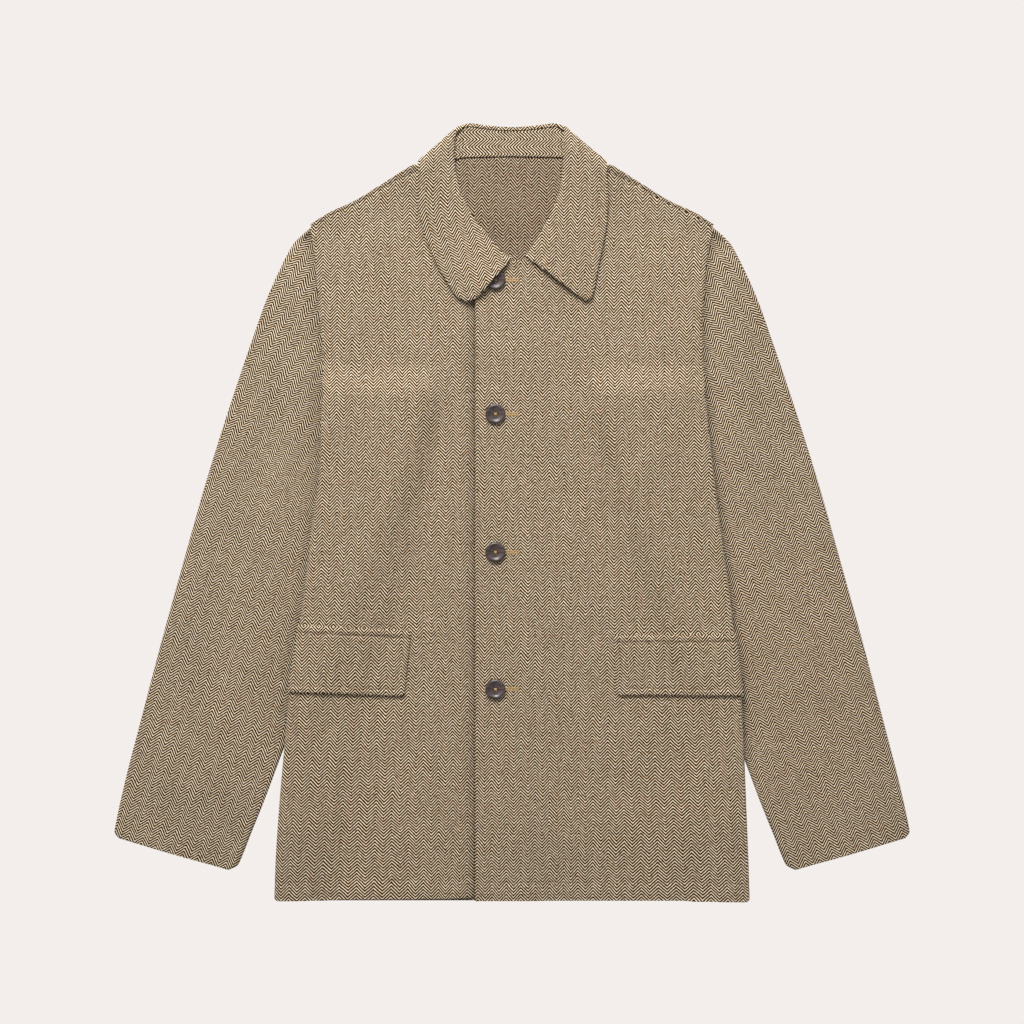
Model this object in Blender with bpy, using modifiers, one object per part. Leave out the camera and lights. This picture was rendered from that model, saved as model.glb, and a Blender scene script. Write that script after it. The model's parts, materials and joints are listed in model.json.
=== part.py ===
"""A wool work jacket, buttoned and laid flat on its back, front up.

X runs to the wearer's left, Y to the collar, Z up from the surface it lies on.
Sizes are in millimetres and are turned to metres as each mesh is made. Each cloth
piece is an open sheet, the right side of the cloth, which is then thickened inwards.
"""
import math

import bmesh
import bpy
import numpy as np

MM = 0.001

CLOTH = 2.0               # thickness of the wool cloth
SEAM = 0.3                # clearance between pieces that are sewn edge to edge
AIR = 0.5                 # clearance between layers that lie on each other
LAYER = CLOTH + AIR
FOLD = CLOTH + AIR / 2    # outer radius of a fold pressed flat
ARC_STEPS = 4             # facets round a half turn of cloth

LEFT, RIGHT = 1, -1       # the wearer's sides, as signs of X

HEM = -389.0
ARMHOLE_FOOT = 112.0      # height where armhole seam and side fold meet
SHOULDER_END = 285.0      # height of the shoulder point
CHEST_HALF = 279.0        # centre line to side seam at the armhole, opened out
HEM_HALF = 269.0          # the same at the hem
PLEAT_TOP_SLOPE = 11.0    # how far the turned-in side drops from fold to underarm

# Distance from the centre line to the body's visible edge: the side folds, then the
# armhole seams above ARMHOLE_FOOT.
# columns: height, right, left
BODY_EDGE = (
    (HEM, 234.5, 234.5),
    (-386.0, 237.0, 237.0),
    (-353.0, 236.0, 236.0),
    (-292.0, 232.0, 233.5),
    (-240.0, 227.5, 231.5),
    (-176.0, 221.5, 228.5),
    (-128.0, 214.0, 222.5),
    (-88.0, 208.0, 218.0),
    (-28.0, 201.0, 210.0),
    (42.0, 192.0, 201.0),
    (ARMHOLE_FOOT, 190.0, 194.0),
    (147.0, 188.5, 191.0),
    (185.0, 191.0, 190.5),
    (219.0, 194.0, 192.0),
    (245.0, 196.0, 194.0),
    (266.0, 198.5, 197.0),
    (SHOULDER_END, 202.0, 202.0),
)
# Outline of a shoulder, from the neck to the shoulder point.
# columns: across, height
SHOULDER = ((77.0, 341.5), (91.0, 343.6), (97.0, 347.8), (107.0, 343.0), (128.0, 330.0),
            (159.0, 311.0), (183.0, 300.0), (202.0, 288.0))
SHOULDER_SLOPE = math.radians(27.0)
FRONT_EDGE = {LEFT: -37.0, RIGHT: -4.0}      # across to each front's own edge
EDGE_ROWS = {LEFT: (165.0, 215.0), RIGHT: (165.0, 215.0)}
# The fronts' neck edges before the collar begins.
# columns: across towards the wearer's own side, height
NECK_START = {LEFT: ((-34.0, 241.0), (-15.0, 247.5), (0.0, 251.0), (12.0, 252.5)),
              RIGHT: ((-4.0, 243.0), (8.0, 248.5))}
NECK_EARLY = 14.0         # how far ahead of the back the fronts rise over the collar
BACK_CENTRE_ROWS = (170.0, 215.0, 255.0, 280.0, 300.0, 318.0, 336.0)
BACK_NECK = ((0.0, 354.5), (26.0, 354.0), (50.0, 353.0))
# Where points lie across a panel, as shares of its width.
PANEL_COLUMNS = (0.0, 0.17, 0.28, 0.40, 0.52, 0.62, 0.71, 0.79, 0.87, 0.94, 1.0)
PLEAT_COLUMNS = (0.3, 0.55, 0.7, 0.85, 1.0)  # shares of the depth turned in

# The outer edge of a sleeve from shoulder to cuff, its underarm edge, and how much of
# the armhole's own bend is left at each section.
# columns: outer across, outer height, inner across, inner height, bend
SLEEVE = (
    (202.4, 285.5, 101.0, 101.0, 1.0),
    (219.0, 270.0, 107.0, 86.0, 0.90),
    (234.0, 242.0, 114.0, 68.0, 0.78),
    (247.0, 212.0, 124.0, 42.0, 0.62),
    (261.0, 172.0, 137.0, 8.0, 0.44),
    (281.0, 112.0, 156.0, -44.0, 0.26),
    (306.0, 32.0, 180.0, -108.0, 0.11),
    (328.5, -48.0, 204.0, -172.0, 0.03),
    (350.5, -128.0, 228.0, -236.0, 0.0),
    (371.5, -208.0, 249.0, -292.0, 0.0),
    (387.0, -268.0, 262.0, -324.0, 0.0),
    (395.5, -306.0, 269.0, -342.0, 0.0),
    (398.0, -320.0, 275.0, -354.0, 0.0),
    (394.0, -326.0, 283.0, -358.0, 0.0),
)
SLEEVE_COLUMNS = (0.0, 0.12, 0.26, 0.40, 0.54, 0.66, 0.76, 0.86, 1.0)
ARMHOLE_SHARE = 0.66      # share of a sleeve's top edge that is sewn where it shows
SLEEVE_LOFT = 6.5         # top of a sleeve above the surface, clear of the body
SLEEVE_UNDER = 2 * LAYER  # underside of the sleeve inside the side pleat
SLEEVE_OVER = SLEEVE_UNDER + 2 * FOLD

# Sections along the collar, from the wearer's right point round the back of the neck
# to the left point. roll is its folded edge, edge the fall's outer edge and seam the
# stand's lower edge, all seen from above. turn is 180 where the fall lies on the
# fronts and 0 behind the neck. The lifts raise the middle and the edge of the fall.
# columns: roll x, roll y, edge x, edge y, seam x, seam y, turn, lift mid, lift edge
COLLAR = (
    (-4.0, 254.0, -40.0, 211.0, -8.0, 252.0, 180, 4.1, 0.5),
    (-12.0, 262.5, -54.0, 214.5, -22.0, 250.5, 180, 3.0, -2.0),
    (-22.0, 273.5, -65.0, 230.0, -38.0, 254.5, 180, 0.6, -2.4),
    (-34.0, 288.5, -75.0, 248.0, -54.0, 266.5, 180, -0.6, -2.4),
    (-44.0, 304.5, -83.5, 268.0, -66.0, 286.5, 180, -1.0, -2.4),
    (-51.5, 322.0, -90.0, 288.0, -74.0, 310.5, 180, -0.8, -2.2),
    (-56.0, 342.0, -93.5, 312.0, -76.0, 324.0, 180, 0.0, -1.2),
    (-57.5, 362.0, -93.0, 334.0, -73.0, 333.0, 180, 0.6, 0.4),
    (-55.5, 374.0, -91.0, 344.5, -75.0, 342.8, 135, 0.8, 1.2),
    (-52.5, 381.5, -88.0, 348.5, -74.5, 346.0, 90, 0.4, 0.4),
    (-48.0, 386.0, -84.0, 345.5, -62.0, 349.4, 45, 0.6, 0.8),
    (-42.0, 389.4, -66.0, 334.0, -50.0, 354.5, 0, 0.0, 0.0),
    (-22.0, 387.0, -34.0, 325.0, -26.0, 355.0, 0, 0.0, 0.0),
    (0.0, 385.5, 0.0, 322.0, 0.0, 355.5, 0, 0.0, 0.0),
    (22.0, 387.0, 34.0, 325.0, 26.0, 355.0, 0, 0.0, 0.0),
    (42.0, 389.4, 66.0, 334.0, 50.0, 354.5, 0, 0.0, 0.0),
    (48.0, 386.0, 84.0, 345.5, 62.0, 349.4, 45, 0.6, 0.8),
    (51.0, 381.5, 88.0, 348.5, 74.5, 346.0, 90, 0.4, 0.4),
    (51.0, 374.0, 92.0, 344.5, 75.0, 342.8, 135, 0.8, 1.2),
    (51.5, 362.0, 95.0, 336.0, 73.0, 333.0, 180, 0.6, 0.4),
    (50.5, 342.0, 95.5, 312.0, 76.0, 324.0, 180, 0.0, -1.2),
    (47.5, 322.0, 94.5, 290.0, 74.0, 310.5, 180, -0.8, -2.2),
    (41.5, 304.5, 91.5, 271.0, 65.0, 288.5, 180, -1.0, -2.4),
    (33.0, 287.5, 87.5, 252.0, 52.0, 270.0, 180, -0.6, -2.4),
    (24.0, 272.5, 84.5, 236.0, 38.0, 260.0, 180, -0.2, -2.4),
    (17.5, 261.5, 81.0, 220.0, 26.0, 255.0, 180, 0.0, -2.2),
    (13.5, 256.0, 73.0, 211.5, 16.5, 255.2, 180, 0.0, -2.0),
)
ROLL_X, ROLL_Y, EDGE_X, EDGE_Y, SEAM_X, SEAM_Y, TURN, LIFT_MID, LIFT_EDGE = range(9)
COLLAR_LEVEL = 2 * LAYER - AIR / 2    # height midway between the back and the fronts
ROLL_TAB = 1.5                        # how far the fall runs on before it rolls over
STAND_CLEAR = 1.0                     # how far the stand's foot stays above the fall's dip
# How the stand keeps clear of the fall where the collar turns over at the shoulders.
# columns: turn, lean away from the fall, gap below the roll
STAND_FIT = ((0, 0.0, 0.9), (45, 0.4, 15.0), (90, 1.0, 6.0), (135, 0.6, 7.0), (180, 0.0, 0.9))
FALL_COLUMNS = (0.2, 0.4, 0.6, 0.8, 1.0)
STAND_COLUMNS = (0.0, 0.33, 0.67, 1.0)

# Pocket flaps. Their outer ends are stitched at the side folds.
# columns: side, inner x top, inner x bottom, top inner, bottom inner, top outer, bottom outer
FLAPS = (
    (RIGHT, 101.0, 108.0, -118.5, -184.0, -112.5, -179.0),
    (LEFT, 101.0, 105.5, -123.0, -183.0, -121.0, -182.5),
)
FLAP_COLUMNS = (0.0, 0.03, 0.14, 0.26, 0.36, 0.42, 0.49, 0.56, 0.64, 0.72, 0.8, 0.9, 1.0)
FLAP_ROWS = (0.0, 0.25, 0.5, 0.75, 0.96, 1.0)
FLAP_WRAP = math.radians(50.0)        # how far a flap bends over the side fold
FLAP_AIR = 0.8                        # clearance of a flap from the front under it

BUTTON_LINE = -16.5                   # across to the buttons' centres
BUTTON_HEIGHTS = (232.0, 98.0, -40.0, -177.0)
BUTTON_SIDES = 20
# Half outline of a button, from the middle of its face to the middle of its back.
# columns: radius, height
BUTTON_PROFILE = ((0.0, 2.3), (5.6, 2.3), (7.4, 3.2), (9.2, 3.1), (10.0, 1.9),
                  (9.2, 0.6), (7.0, 0.0), (0.0, 0.0))
BUTTON_HOLE_RADIUS = 0.9
BUTTON_HOLE_SPACING = 3.0


def table(rows, column, at, key=0):
    """Read a column of a table at a value of its key column."""
    order = sorted(rows, key=lambda row: row[key])
    return float(np.interp(at, [row[key] for row in order], [row[column] for row in order]))


def ramp(value, low, high):
    """Rise smoothly from 0 at low to 1 at high."""
    share = min(max((value - low) / (high - low), 0.0), 1.0)
    return share * share * (3.0 - 2.0 * share)


def body_edge(height, side):
    return table(BODY_EDGE, 2 if side == LEFT else 1, height)


def pleat_depth(height, side):
    """How far the cloth is turned in beside the fold, back to the side seam."""
    opened = np.interp(height, (HEM, ARMHOLE_FOOT), (HEM_HALF, CHEST_HALF))
    return float(opened) - body_edge(height, side)


def neck_raise(across, height, early=0.0):
    """Height of the back panel where the collar's fall lies under it.

    The rise is long and early at the centre and short beside the neck. A layer above
    the back starts to rise early too, to stay clear of it.
    """
    fall_edge = 322.0 + 26.0 * (across / 88.0) ** 2 - early
    central = ramp(across, 64.0, 30.0)
    start = fall_edge - 36.0 - 26.0 * central
    end = fall_edge - 6.0 - 20.0 * central
    return LAYER * ramp(height, start, end) * ramp(across - early, 130.0, 98.0)


def front_top(across, height, side):
    """Height of a front's right side, over every layer that lies under it."""
    edge = body_edge(height, side)
    below_arm = ramp(height, 150.0, ARMHOLE_FOOT + 2.0)
    pleat_end = edge - pleat_depth(min(height, ARMHOLE_FOOT), side)
    over_pleat = ramp(across, pleat_end - 32.0, pleat_end - 3.0) * below_arm
    sleeve_edge = table(SLEEVE, 2, min(height, SLEEVE[0][3]), key=3)
    over_sleeve = ramp(across, sleeve_edge - 40.0, sleeve_edge - 10.0) * below_arm
    arm_rise = 1.5 + 1.5 * ramp(height, 280.0, 235.0)
    beside_arm = arm_rise * ramp(across, edge - 100.0, edge - 4.0) * (1.0 - below_arm)
    overlap = ramp(across, 52.0, 9.0) if side == LEFT else 0.0
    return (LAYER + CLOTH + neck_raise(abs(across), height, NECK_EARLY) + beside_arm
            + LAYER * (2.0 * over_pleat + 2.0 * over_sleeve + overlap))


def new_object(name, mesh_data, material, collection):
    piece = bpy.data.objects.new(name, mesh_data)
    piece.data.materials.append(material)
    collection.objects.link(piece)
    return piece


def cloth(name, patches, material, collection, even=True):
    """Join patches of points, rows by columns, into one sheet and thicken it inwards.

    Seen from the right side, a patch's rows run up and its columns run to the right.
    An even wall keeps its thickness at folds, but spikes where they are very tight.
    """
    sheet = bmesh.new()
    for rows in patches:
        corners = [[sheet.verts.new([c * MM for c in point]) for point in row] for row in rows]
        for low, high in zip(corners, corners[1:]):
            for j in range(len(low) - 1):
                sheet.faces.new((low[j], low[j + 1], high[j + 1], high[j]))
    bmesh.ops.remove_doubles(sheet, verts=sheet.verts, dist=0.01 * MM)
    data = bpy.data.meshes.new(name)
    sheet.to_mesh(data)
    sheet.free()
    data.shade_smooth()
    piece = new_object(name, data, material, collection)
    wall = piece.modifiers.new("cloth", "SOLIDIFY")
    wall.thickness = CLOTH * MM
    wall.offset = -1.0
    wall.use_even_offset = even
    return piece


def shoulder_point(across, side, inset, height):
    """A point near a shoulder's outline, inset square to it."""
    outline = table(SHOULDER, 1, across)
    return (side * (across - inset * math.sin(SHOULDER_SLOPE)),
            outline - inset * math.cos(SHOULDER_SLOPE), height)


def shoulder_seam_inset(across):
    """The shoulder seam lies a little forward of the fold, more so beside the collar."""
    return 3.6 + 4.0 * ramp(across, 130.0, 100.0)


def collar_seams(side):
    """The stand's lower edge over one front, front end first, as (across, height)."""
    sections = COLLAR[1:-1] if side == RIGHT else COLLAR[-2:0:-1]
    return [(abs(row[SEAM_X]), row[SEAM_Y]) for row in sections
            if row[TURN] == 180 and row[SEAM_X] * side > 0]


def panel_rows(side, inner_line, front_edge):
    """Ends of each row across a panel, hem first: (inner across, inner height, outer height)."""
    below = [(front_edge, row[0], row[0]) for row in BODY_EDGE if row[0] <= ARMHOLE_FOOT]
    shares = np.linspace(ARMHOLE_FOOT, SHOULDER_END - 5.0, len(inner_line) + 1)[1:]
    return below + [(x, y, float(share)) for (x, y), share in zip(inner_line, shares)]


def panel_point(row, share, side, inset):
    """A point on a row, as (across, height). Its outer end stops short by inset."""
    inner_x, inner_y, outer_y = row
    outer_x = body_edge(outer_y, side) - inset
    return inner_x + share * (outer_x - inner_x), inner_y + share * (outer_y - inner_y)


def side_inset(row):
    return FOLD if row[2] <= ARMHOLE_FOOT else 0.0


def oriented(rows, flip):
    """Turn a patch over where its rows would otherwise run the wrong way round."""
    return [row[::-1] for row in rows] if flip else rows


def pleat_patch(side, surface, inward):
    """The side fold and the cloth turned in behind it, for a front or for the back.

    surface gives the panel's height, and inward is the way the cloth turns: -1 is down.
    """
    rows = []
    heights = [row[0] for row in BODY_EDGE if row[0] <= ARMHOLE_FOOT]
    for height in heights:
        edge = body_edge(height, side)
        start = edge - FOLD
        row = []
        for step in range(ARC_STEPS + 1):
            angle = math.pi * step / ARC_STEPS
            row.append((side * (start + FOLD * math.sin(angle)), height,
                        surface(start, height) + inward * FOLD * (1.0 - math.cos(angle))))
        depth = pleat_depth(height, side) - FOLD
        top_drop = PLEAT_TOP_SLOPE if height == ARMHOLE_FOOT else 0.0
        for share in PLEAT_COLUMNS:
            across = start - share * depth
            row.append((side * across, height - top_drop * share,
                        surface(across, height) + inward * 2.0 * FOLD))
        rows.append(row)
    return rows


def make_front(name, side, material, collection):
    edge_line = [(FRONT_EDGE[side], height) for height in EDGE_ROWS[side]]
    neck = edge_line + list(NECK_START[side]) + collar_seams(side)
    rows = panel_rows(side, neck, FRONT_EDGE[side])
    patch = []
    for row in rows:
        points = [panel_point(row, share, side, side_inset(row)) for share in PANEL_COLUMNS]
        patch.append([(side * x, y, front_top(x, y, side)) for x, y in points])
    shoulder = []
    for share in PANEL_COLUMNS:
        across = SHOULDER[0][0] + share * (SHOULDER[-1][0] - SHOULDER[0][0])
        inset = shoulder_seam_inset(across) + SEAM
        x, y, _ = shoulder_point(across, side, inset, 0.0)
        shoulder.append((x, y, front_top(abs(x), y, side)))
    patch.append(shoulder)
    pleat = pleat_patch(side, lambda x, y: front_top(x, y, side), -1)
    flip = side == RIGHT
    return cloth(name, [oriented(patch, flip), oriented(pleat, flip)], material, collection)


def make_back(material, collection):
    patches = []
    for side in (LEFT, RIGHT):
        centre = [(0.0, height) for height in BACK_CENTRE_ROWS]
        rows = panel_rows(side, centre + list(BACK_NECK), 0.0)
        patch = []
        for row in rows:
            points = [panel_point(row, share, side, side_inset(row)) for share in PANEL_COLUMNS]
            patch.append([(side * x, y, neck_raise(x, y)) for x, y in points])
        wraps = []
        for share in PANEL_COLUMNS:
            across = SHOULDER[0][0] + share * (SHOULDER[-1][0] - SHOULDER[0][0])
            inset = shoulder_seam_inset(across)
            outline = table(SHOULDER, 1, across)
            top = front_top(across, outline - inset, side)
            foot = neck_raise(across, outline)
            radius = (top - foot) / 2.0
            wrap = []
            for step in range(ARC_STEPS + 1):
                angle = math.pi * step / ARC_STEPS
                wrap.append(shoulder_point(across, side, radius * (1.0 - math.sin(angle)),
                                           foot + radius * (1.0 - math.cos(angle))))
            wrap.append(shoulder_point(across, side, max(inset, radius + 0.1), top))
            wraps.append(wrap)
        shoulder = [list(row) for row in zip(*wraps)]
        patch.append(shoulder[0])
        pleat = pleat_patch(side, lambda x, y: 0.0, 1)
        flip = side == LEFT
        patches += [oriented(rows, flip) for rows in (patch, shoulder, pleat)]
    return cloth("back", patches, material, collection)


def armhole_line(side):
    """The sleeve's sewn edge: shoulder point, down the seam, then in to the underarm."""
    shown = SLEEVE_COLUMNS.index(ARMHOLE_SHARE)
    heights = np.linspace(SLEEVE[0][1], ARMHOLE_FOOT, shown + 1)
    line = [(body_edge(height, side) + 2.0 * SEAM, float(height)) for height in heights]
    start, end = line[-1], (SLEEVE[0][2], SLEEVE[0][3])
    for share in SLEEVE_COLUMNS[shown + 1:]:
        part = (share - ARMHOLE_SHARE) / (1.0 - ARMHOLE_SHARE)
        line.append(tuple(a + part * (b - a) for a, b in zip(start, end)))
    return line


def sleeve_heights(across, height, side):
    """Undersides and tops of a sleeve: it slips between back and front at the fold."""
    inside = body_edge(height, side) - across
    below_arm = ramp(height, 160.0, ARMHOLE_FOOT + 8.0)
    under = SLEEVE_UNDER * ramp(inside, -42.0, -10.0) * below_arm
    seam = SLEEVE_OVER
    if height > ARMHOLE_FOOT:
        seam = min(SLEEVE_OVER, front_top(body_edge(height, side), height, side))
    return under, seam + (SLEEVE_LOFT - seam) * ramp(-inside, 8.0, 70.0)


def make_sleeve(name, side, material, collection):
    sewn = armhole_line(side)
    rings = []
    for outer_x, outer_y, inner_x, inner_y, bend in SLEEVE:
        line = []
        for share, (sewn_x, sewn_y) in zip(SLEEVE_COLUMNS, sewn):
            flat_x = outer_x + share * (inner_x - outer_x)
            flat_y = outer_y + share * (inner_y - outer_y)
            first_x = SLEEVE[0][0] + share * (SLEEVE[0][2] - SLEEVE[0][0])
            first_y = SLEEVE[0][1] + share * (SLEEVE[0][3] - SLEEVE[0][1])
            line.append(np.array((flat_x + bend * (sewn_x - first_x),
                                  flat_y + bend * (sewn_y - first_y))))
        top, bottom = [], []
        for end, following in ((0, 1), (-1, -2)):
            along = line[following] - line[end]
            along /= np.linalg.norm(along)
            under, over = sleeve_heights(*(line[end] + FOLD * along), side)
            radius = (over - under) / 2.0
            arc = []
            for step in range(ARC_STEPS + 1):
                angle = math.pi * (step / ARC_STEPS - 0.5)
                x, y = line[end] + radius * (1.0 - math.cos(angle)) * along
                arc.append((side * x, y, (over + under) / 2.0 + radius * math.sin(angle)))
            if end == 0:
                outer_arc = arc
            else:
                inner_arc = arc[::-1]
        for x, y in line[1:-1]:
            under, over = sleeve_heights(x, y, side)
            top.append((side * x, y, over))
            bottom.append((side * x, y, under))
        ring = outer_arc + top + inner_arc + bottom[::-1]
        rings.append(ring + ring[:1])
    return cloth(name, [oriented(rings, side == RIGHT)], material, collection)


def collar_frame(row):
    """The fall's edge point, the way to the roll, the way out, and the fall's width."""
    roll = np.array((row[ROLL_X], row[ROLL_Y], 0.0))
    edge = np.array((row[EDGE_X], row[EDGE_Y], 0.0))
    width = float(np.linalg.norm(roll - edge))
    along = (roll - edge) / width
    aside = np.array((-along[1], along[0], 0.0)) * (-1.0 if row[ROLL_X] > 0.0 else 1.0)
    turn = math.radians(row[TURN])
    out = aside * math.sin(turn) + np.array((0.0, 0.0, -math.cos(turn)))
    edge[2] = COLLAR_LEVEL
    return edge, along, out, width


def make_collar_fall(material, collection):
    rows = []
    for section in COLLAR:
        edge, along, out, width = collar_frame(section)
        centre = edge + along * (width - FOLD) + out * (AIR / 2 + FOLD)
        row = [centre - along * ROLL_TAB - out * FOLD]
        for step in range(ARC_STEPS + 1):
            angle = math.pi * (step / ARC_STEPS - 0.5)
            row.append(centre + FOLD * (along * math.cos(angle) + out * math.sin(angle)))
        mid, end = section[LIFT_MID], section[LIFT_EDGE]
        for share in FALL_COLUMNS:
            lift = (4.0 * mid - end) * share + (2.0 * end - 4.0 * mid) * share * share
            base = edge + along * (width - FOLD) * (1.0 - share)
            row.append(base + out * (AIR / 2 + 2.0 * FOLD + lift))
        rows.append([tuple(point) for point in row])
    return cloth("collar_fall", [oriented(rows, True)], material, collection)


def make_collar_stand(material, collection):
    rows = []
    for section in COLLAR[1:-1]:
        edge, along, out, width = collar_frame(section)
        lean = table(STAND_FIT, 1, section[TURN])
        top = edge + along * (width - FOLD - ROLL_TAB - table(STAND_FIT, 2, section[TURN]))
        foot = np.array((section[SEAM_X], section[SEAM_Y], COLLAR_LEVEL))
        foot += (top - foot) / np.linalg.norm(top - foot) * 2.0 * SEAM
        drop = min(0.0, section[LIFT_EDGE] + STAND_CLEAR)
        row = []
        for share in STAND_COLUMNS:
            base = foot + share * (top - foot)
            row.append(tuple(base + out * (AIR / 2 - lean + drop * (1.0 - share))))
        rows.append(row)
    return cloth("collar_stand", [oriented(rows, True)], material, collection, even=False)


def on_front(across, height, side):
    """Height of a front's facets, read between its own rows and columns."""
    rows = [row[0] for row in BODY_EDGE if row[0] <= ARMHOLE_FOOT]
    low = max(row for row in rows if row <= height)
    high = min(row for row in rows if row > height)
    tops = []
    for level in (low, high):
        row = (FRONT_EDGE[side], level, level)
        points = [panel_point(row, share, side, FOLD) for share in PANEL_COLUMNS]
        tops.append(np.interp(across, [x for x, _ in points],
                              [front_top(x, y, side) for x, y in points]))
    return float(np.interp(height, (low, high), tops))


def make_flap(name, row, material, collection):
    side, top_x, bottom_x, top_in, bottom_in, top_out, bottom_out = row
    proud = FLAP_AIR + CLOTH
    patch = []
    for down in FLAP_ROWS:
        inner = np.array((top_x + down * (bottom_x - top_x), top_in + down * (bottom_in - top_in)))
        outer_y = top_out + down * (bottom_out - top_out)
        outer = np.array((body_edge(outer_y, side) - FOLD, outer_y))
        if down == FLAP_ROWS[-1]:
            inner[0] += 2.5
        points = []
        for share in FLAP_COLUMNS:
            x, y = inner + share * (outer - inner)
            points.append((side * x, y, on_front(x, y, side) + proud))
        for step in (0.5, 1.0):
            angle = FLAP_WRAP * step
            points.append((side * (outer[0] + (FOLD + proud) * math.sin(angle)), outer_y,
                           on_front(outer[0], outer_y, side) - FOLD
                           + (FOLD + proud) * math.cos(angle)))
        patch.append(points)
    return cloth(name, [oriented(patch, side == LEFT)], material, collection)


def make_button(name, height, material, collection):
    """A turned button with four holes, on the left front."""
    turned = bmesh.new()
    ring = [turned.verts.new((radius * MM, 0.0, z * MM)) for radius, z in BUTTON_PROFILE]
    for first, second in zip(ring, ring[1:]):
        turned.edges.new((first, second))
    data = bpy.data.meshes.new(name)
    turned.to_mesh(data)
    turned.free()
    piece = new_object(name, data, material, collection)
    screw = piece.modifiers.new("turned", "SCREW")
    screw.steps = BUTTON_SIDES
    screw.render_steps = BUTTON_SIDES
    screw.use_merge_vertices = True
    screw.merge_threshold = 0.00001
    centre_height = front_top(BUTTON_LINE, height, LEFT) + SEAM
    piece.location = (BUTTON_LINE * MM, height * MM, centre_height * MM)
    for hole in range(4):
        angle = math.pi / 4 + hole * math.pi / 2
        bpy.ops.mesh.primitive_cylinder_add(vertices=8, radius=BUTTON_HOLE_RADIUS * MM,
                                            depth=12.0 * MM)
        drill = bpy.context.object
        drill.name = f"{name}_drill_{hole + 1}"
        reach = BUTTON_HOLE_SPACING / 2 * math.sqrt(2.0)
        drill.location = ((BUTTON_LINE + reach * math.cos(angle)) * MM,
                          (height + reach * math.sin(angle)) * MM, centre_height * MM)
        drill.hide_render = True
        drill.display_type = "WIRE"
        for owner in drill.users_collection:
            owner.objects.unlink(drill)
        cutters.objects.link(drill)
        cut = piece.modifiers.new(f"hole_{hole + 1}", "BOOLEAN")
        cut.operation = "DIFFERENCE"
        cut.object = drill
    return piece


def make_material(name, colour, roughness):
    material = bpy.data.materials.new(name)
    material.use_nodes = True
    shader = material.node_tree.nodes["Principled BSDF"]
    shader.inputs["Base Color"].default_value = (*colour, 1.0)
    shader.inputs["Roughness"].default_value = roughness
    shader.inputs["Metallic"].default_value = 0.0
    return material


for old in list(bpy.data.objects):
    bpy.data.objects.remove(old)

jacket = bpy.data.collections.new("work_jacket")
cutters = bpy.data.collections.new("cutters")
for group in (jacket, cutters):
    bpy.context.scene.collection.children.link(group)

wool = make_material("herringbone_wool", (0.32, 0.24, 0.16), 0.9)
inside_wool = make_material("herringbone_wool_stand", (0.29, 0.22, 0.15), 0.9)
horn = make_material("horn", (0.045, 0.035, 0.035), 0.35)

make_back(wool, jacket)
make_sleeve("sleeve_right", RIGHT, wool, jacket)
make_sleeve("sleeve_left", LEFT, wool, jacket)
make_front("front_right", RIGHT, wool, jacket)
make_front("front_left", LEFT, wool, jacket)
make_collar_stand(inside_wool, jacket)
make_collar_fall(wool, jacket)
for flap_name, flap_row in zip(("flap_right", "flap_left"), FLAPS):
    make_flap(flap_name, flap_row, wool, jacket)
for number, button_height in enumerate(BUTTON_HEIGHTS, start=1):
    make_button(f"button_{number}", button_height, horn, jacket)
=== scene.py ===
import json
import math

import bmesh
import bpy
import numpy as np
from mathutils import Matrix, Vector
from mathutils.bvhtree import BVHTree

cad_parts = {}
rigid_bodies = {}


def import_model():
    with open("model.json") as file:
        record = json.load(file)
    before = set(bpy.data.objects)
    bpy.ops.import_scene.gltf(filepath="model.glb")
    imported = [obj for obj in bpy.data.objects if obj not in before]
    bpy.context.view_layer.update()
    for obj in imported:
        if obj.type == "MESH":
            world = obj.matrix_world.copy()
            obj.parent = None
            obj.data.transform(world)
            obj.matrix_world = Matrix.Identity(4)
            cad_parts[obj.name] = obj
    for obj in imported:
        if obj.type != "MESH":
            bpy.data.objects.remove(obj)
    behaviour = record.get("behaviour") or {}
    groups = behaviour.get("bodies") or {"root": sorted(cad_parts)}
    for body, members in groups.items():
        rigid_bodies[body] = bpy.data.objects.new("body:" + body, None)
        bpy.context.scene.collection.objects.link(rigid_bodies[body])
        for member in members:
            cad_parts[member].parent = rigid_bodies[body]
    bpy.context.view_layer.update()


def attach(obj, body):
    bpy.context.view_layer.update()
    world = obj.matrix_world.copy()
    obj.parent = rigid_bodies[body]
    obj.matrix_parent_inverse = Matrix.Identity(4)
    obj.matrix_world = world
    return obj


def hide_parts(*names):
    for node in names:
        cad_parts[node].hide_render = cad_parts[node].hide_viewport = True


# The imported solids of the jacket.
# Sizes below are in millimetres: X to the wearer's left, Y to the collar, Z upwards.
for old in list(bpy.data.objects):
    bpy.data.objects.remove(old)
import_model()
MM = 0.001

# The outer cloth is a wool herringbone of cream and dark brown yarn, woven in broken
# twill. Brushed after weaving, it has a dull, slightly hairy face, with tan, rust and
# grey flecks in the yarn.
HALF_COLUMN = 7.2         # width of one slant of the herringbone
TWILL_ACROSS = 2.88       # spacing of the twill lines across the cloth
TWILL_ALONG = 3.17        # the same along it
YARN_RUN = 1.7            # length of yarn that shows between two crossings
FLECK = 9.0               # length of one colour in the spun yarn
DAMP_PATCH = 34.0         # size of the uneven patches that brushing leaves
COLUMN_DRIFT = 3.2        # how far the columns wander sideways
LINE_DRIFT = 1.6          # how many lines the twill wanders up or down
LINE_EDGE = 2.4           # how sharply pale yarn gives way to dark
NAP = 0.2                 # depth of the nap
PAINTED_SHADE_DEPTH = 0.85         # share of the colour that painted shade takes away at its darkest


def linear(hex_colour, alpha=1.0):
    """Turn an sRGB hex colour to the linear values a shader takes."""
    channels = [int(hex_colour[i:i + 2], 16) / 255.0 for i in (1, 3, 5)]
    return (*[c / 12.92 if c <= 0.04045 else ((c + 0.055) / 1.055) ** 2.4
              for c in channels], alpha)


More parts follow.
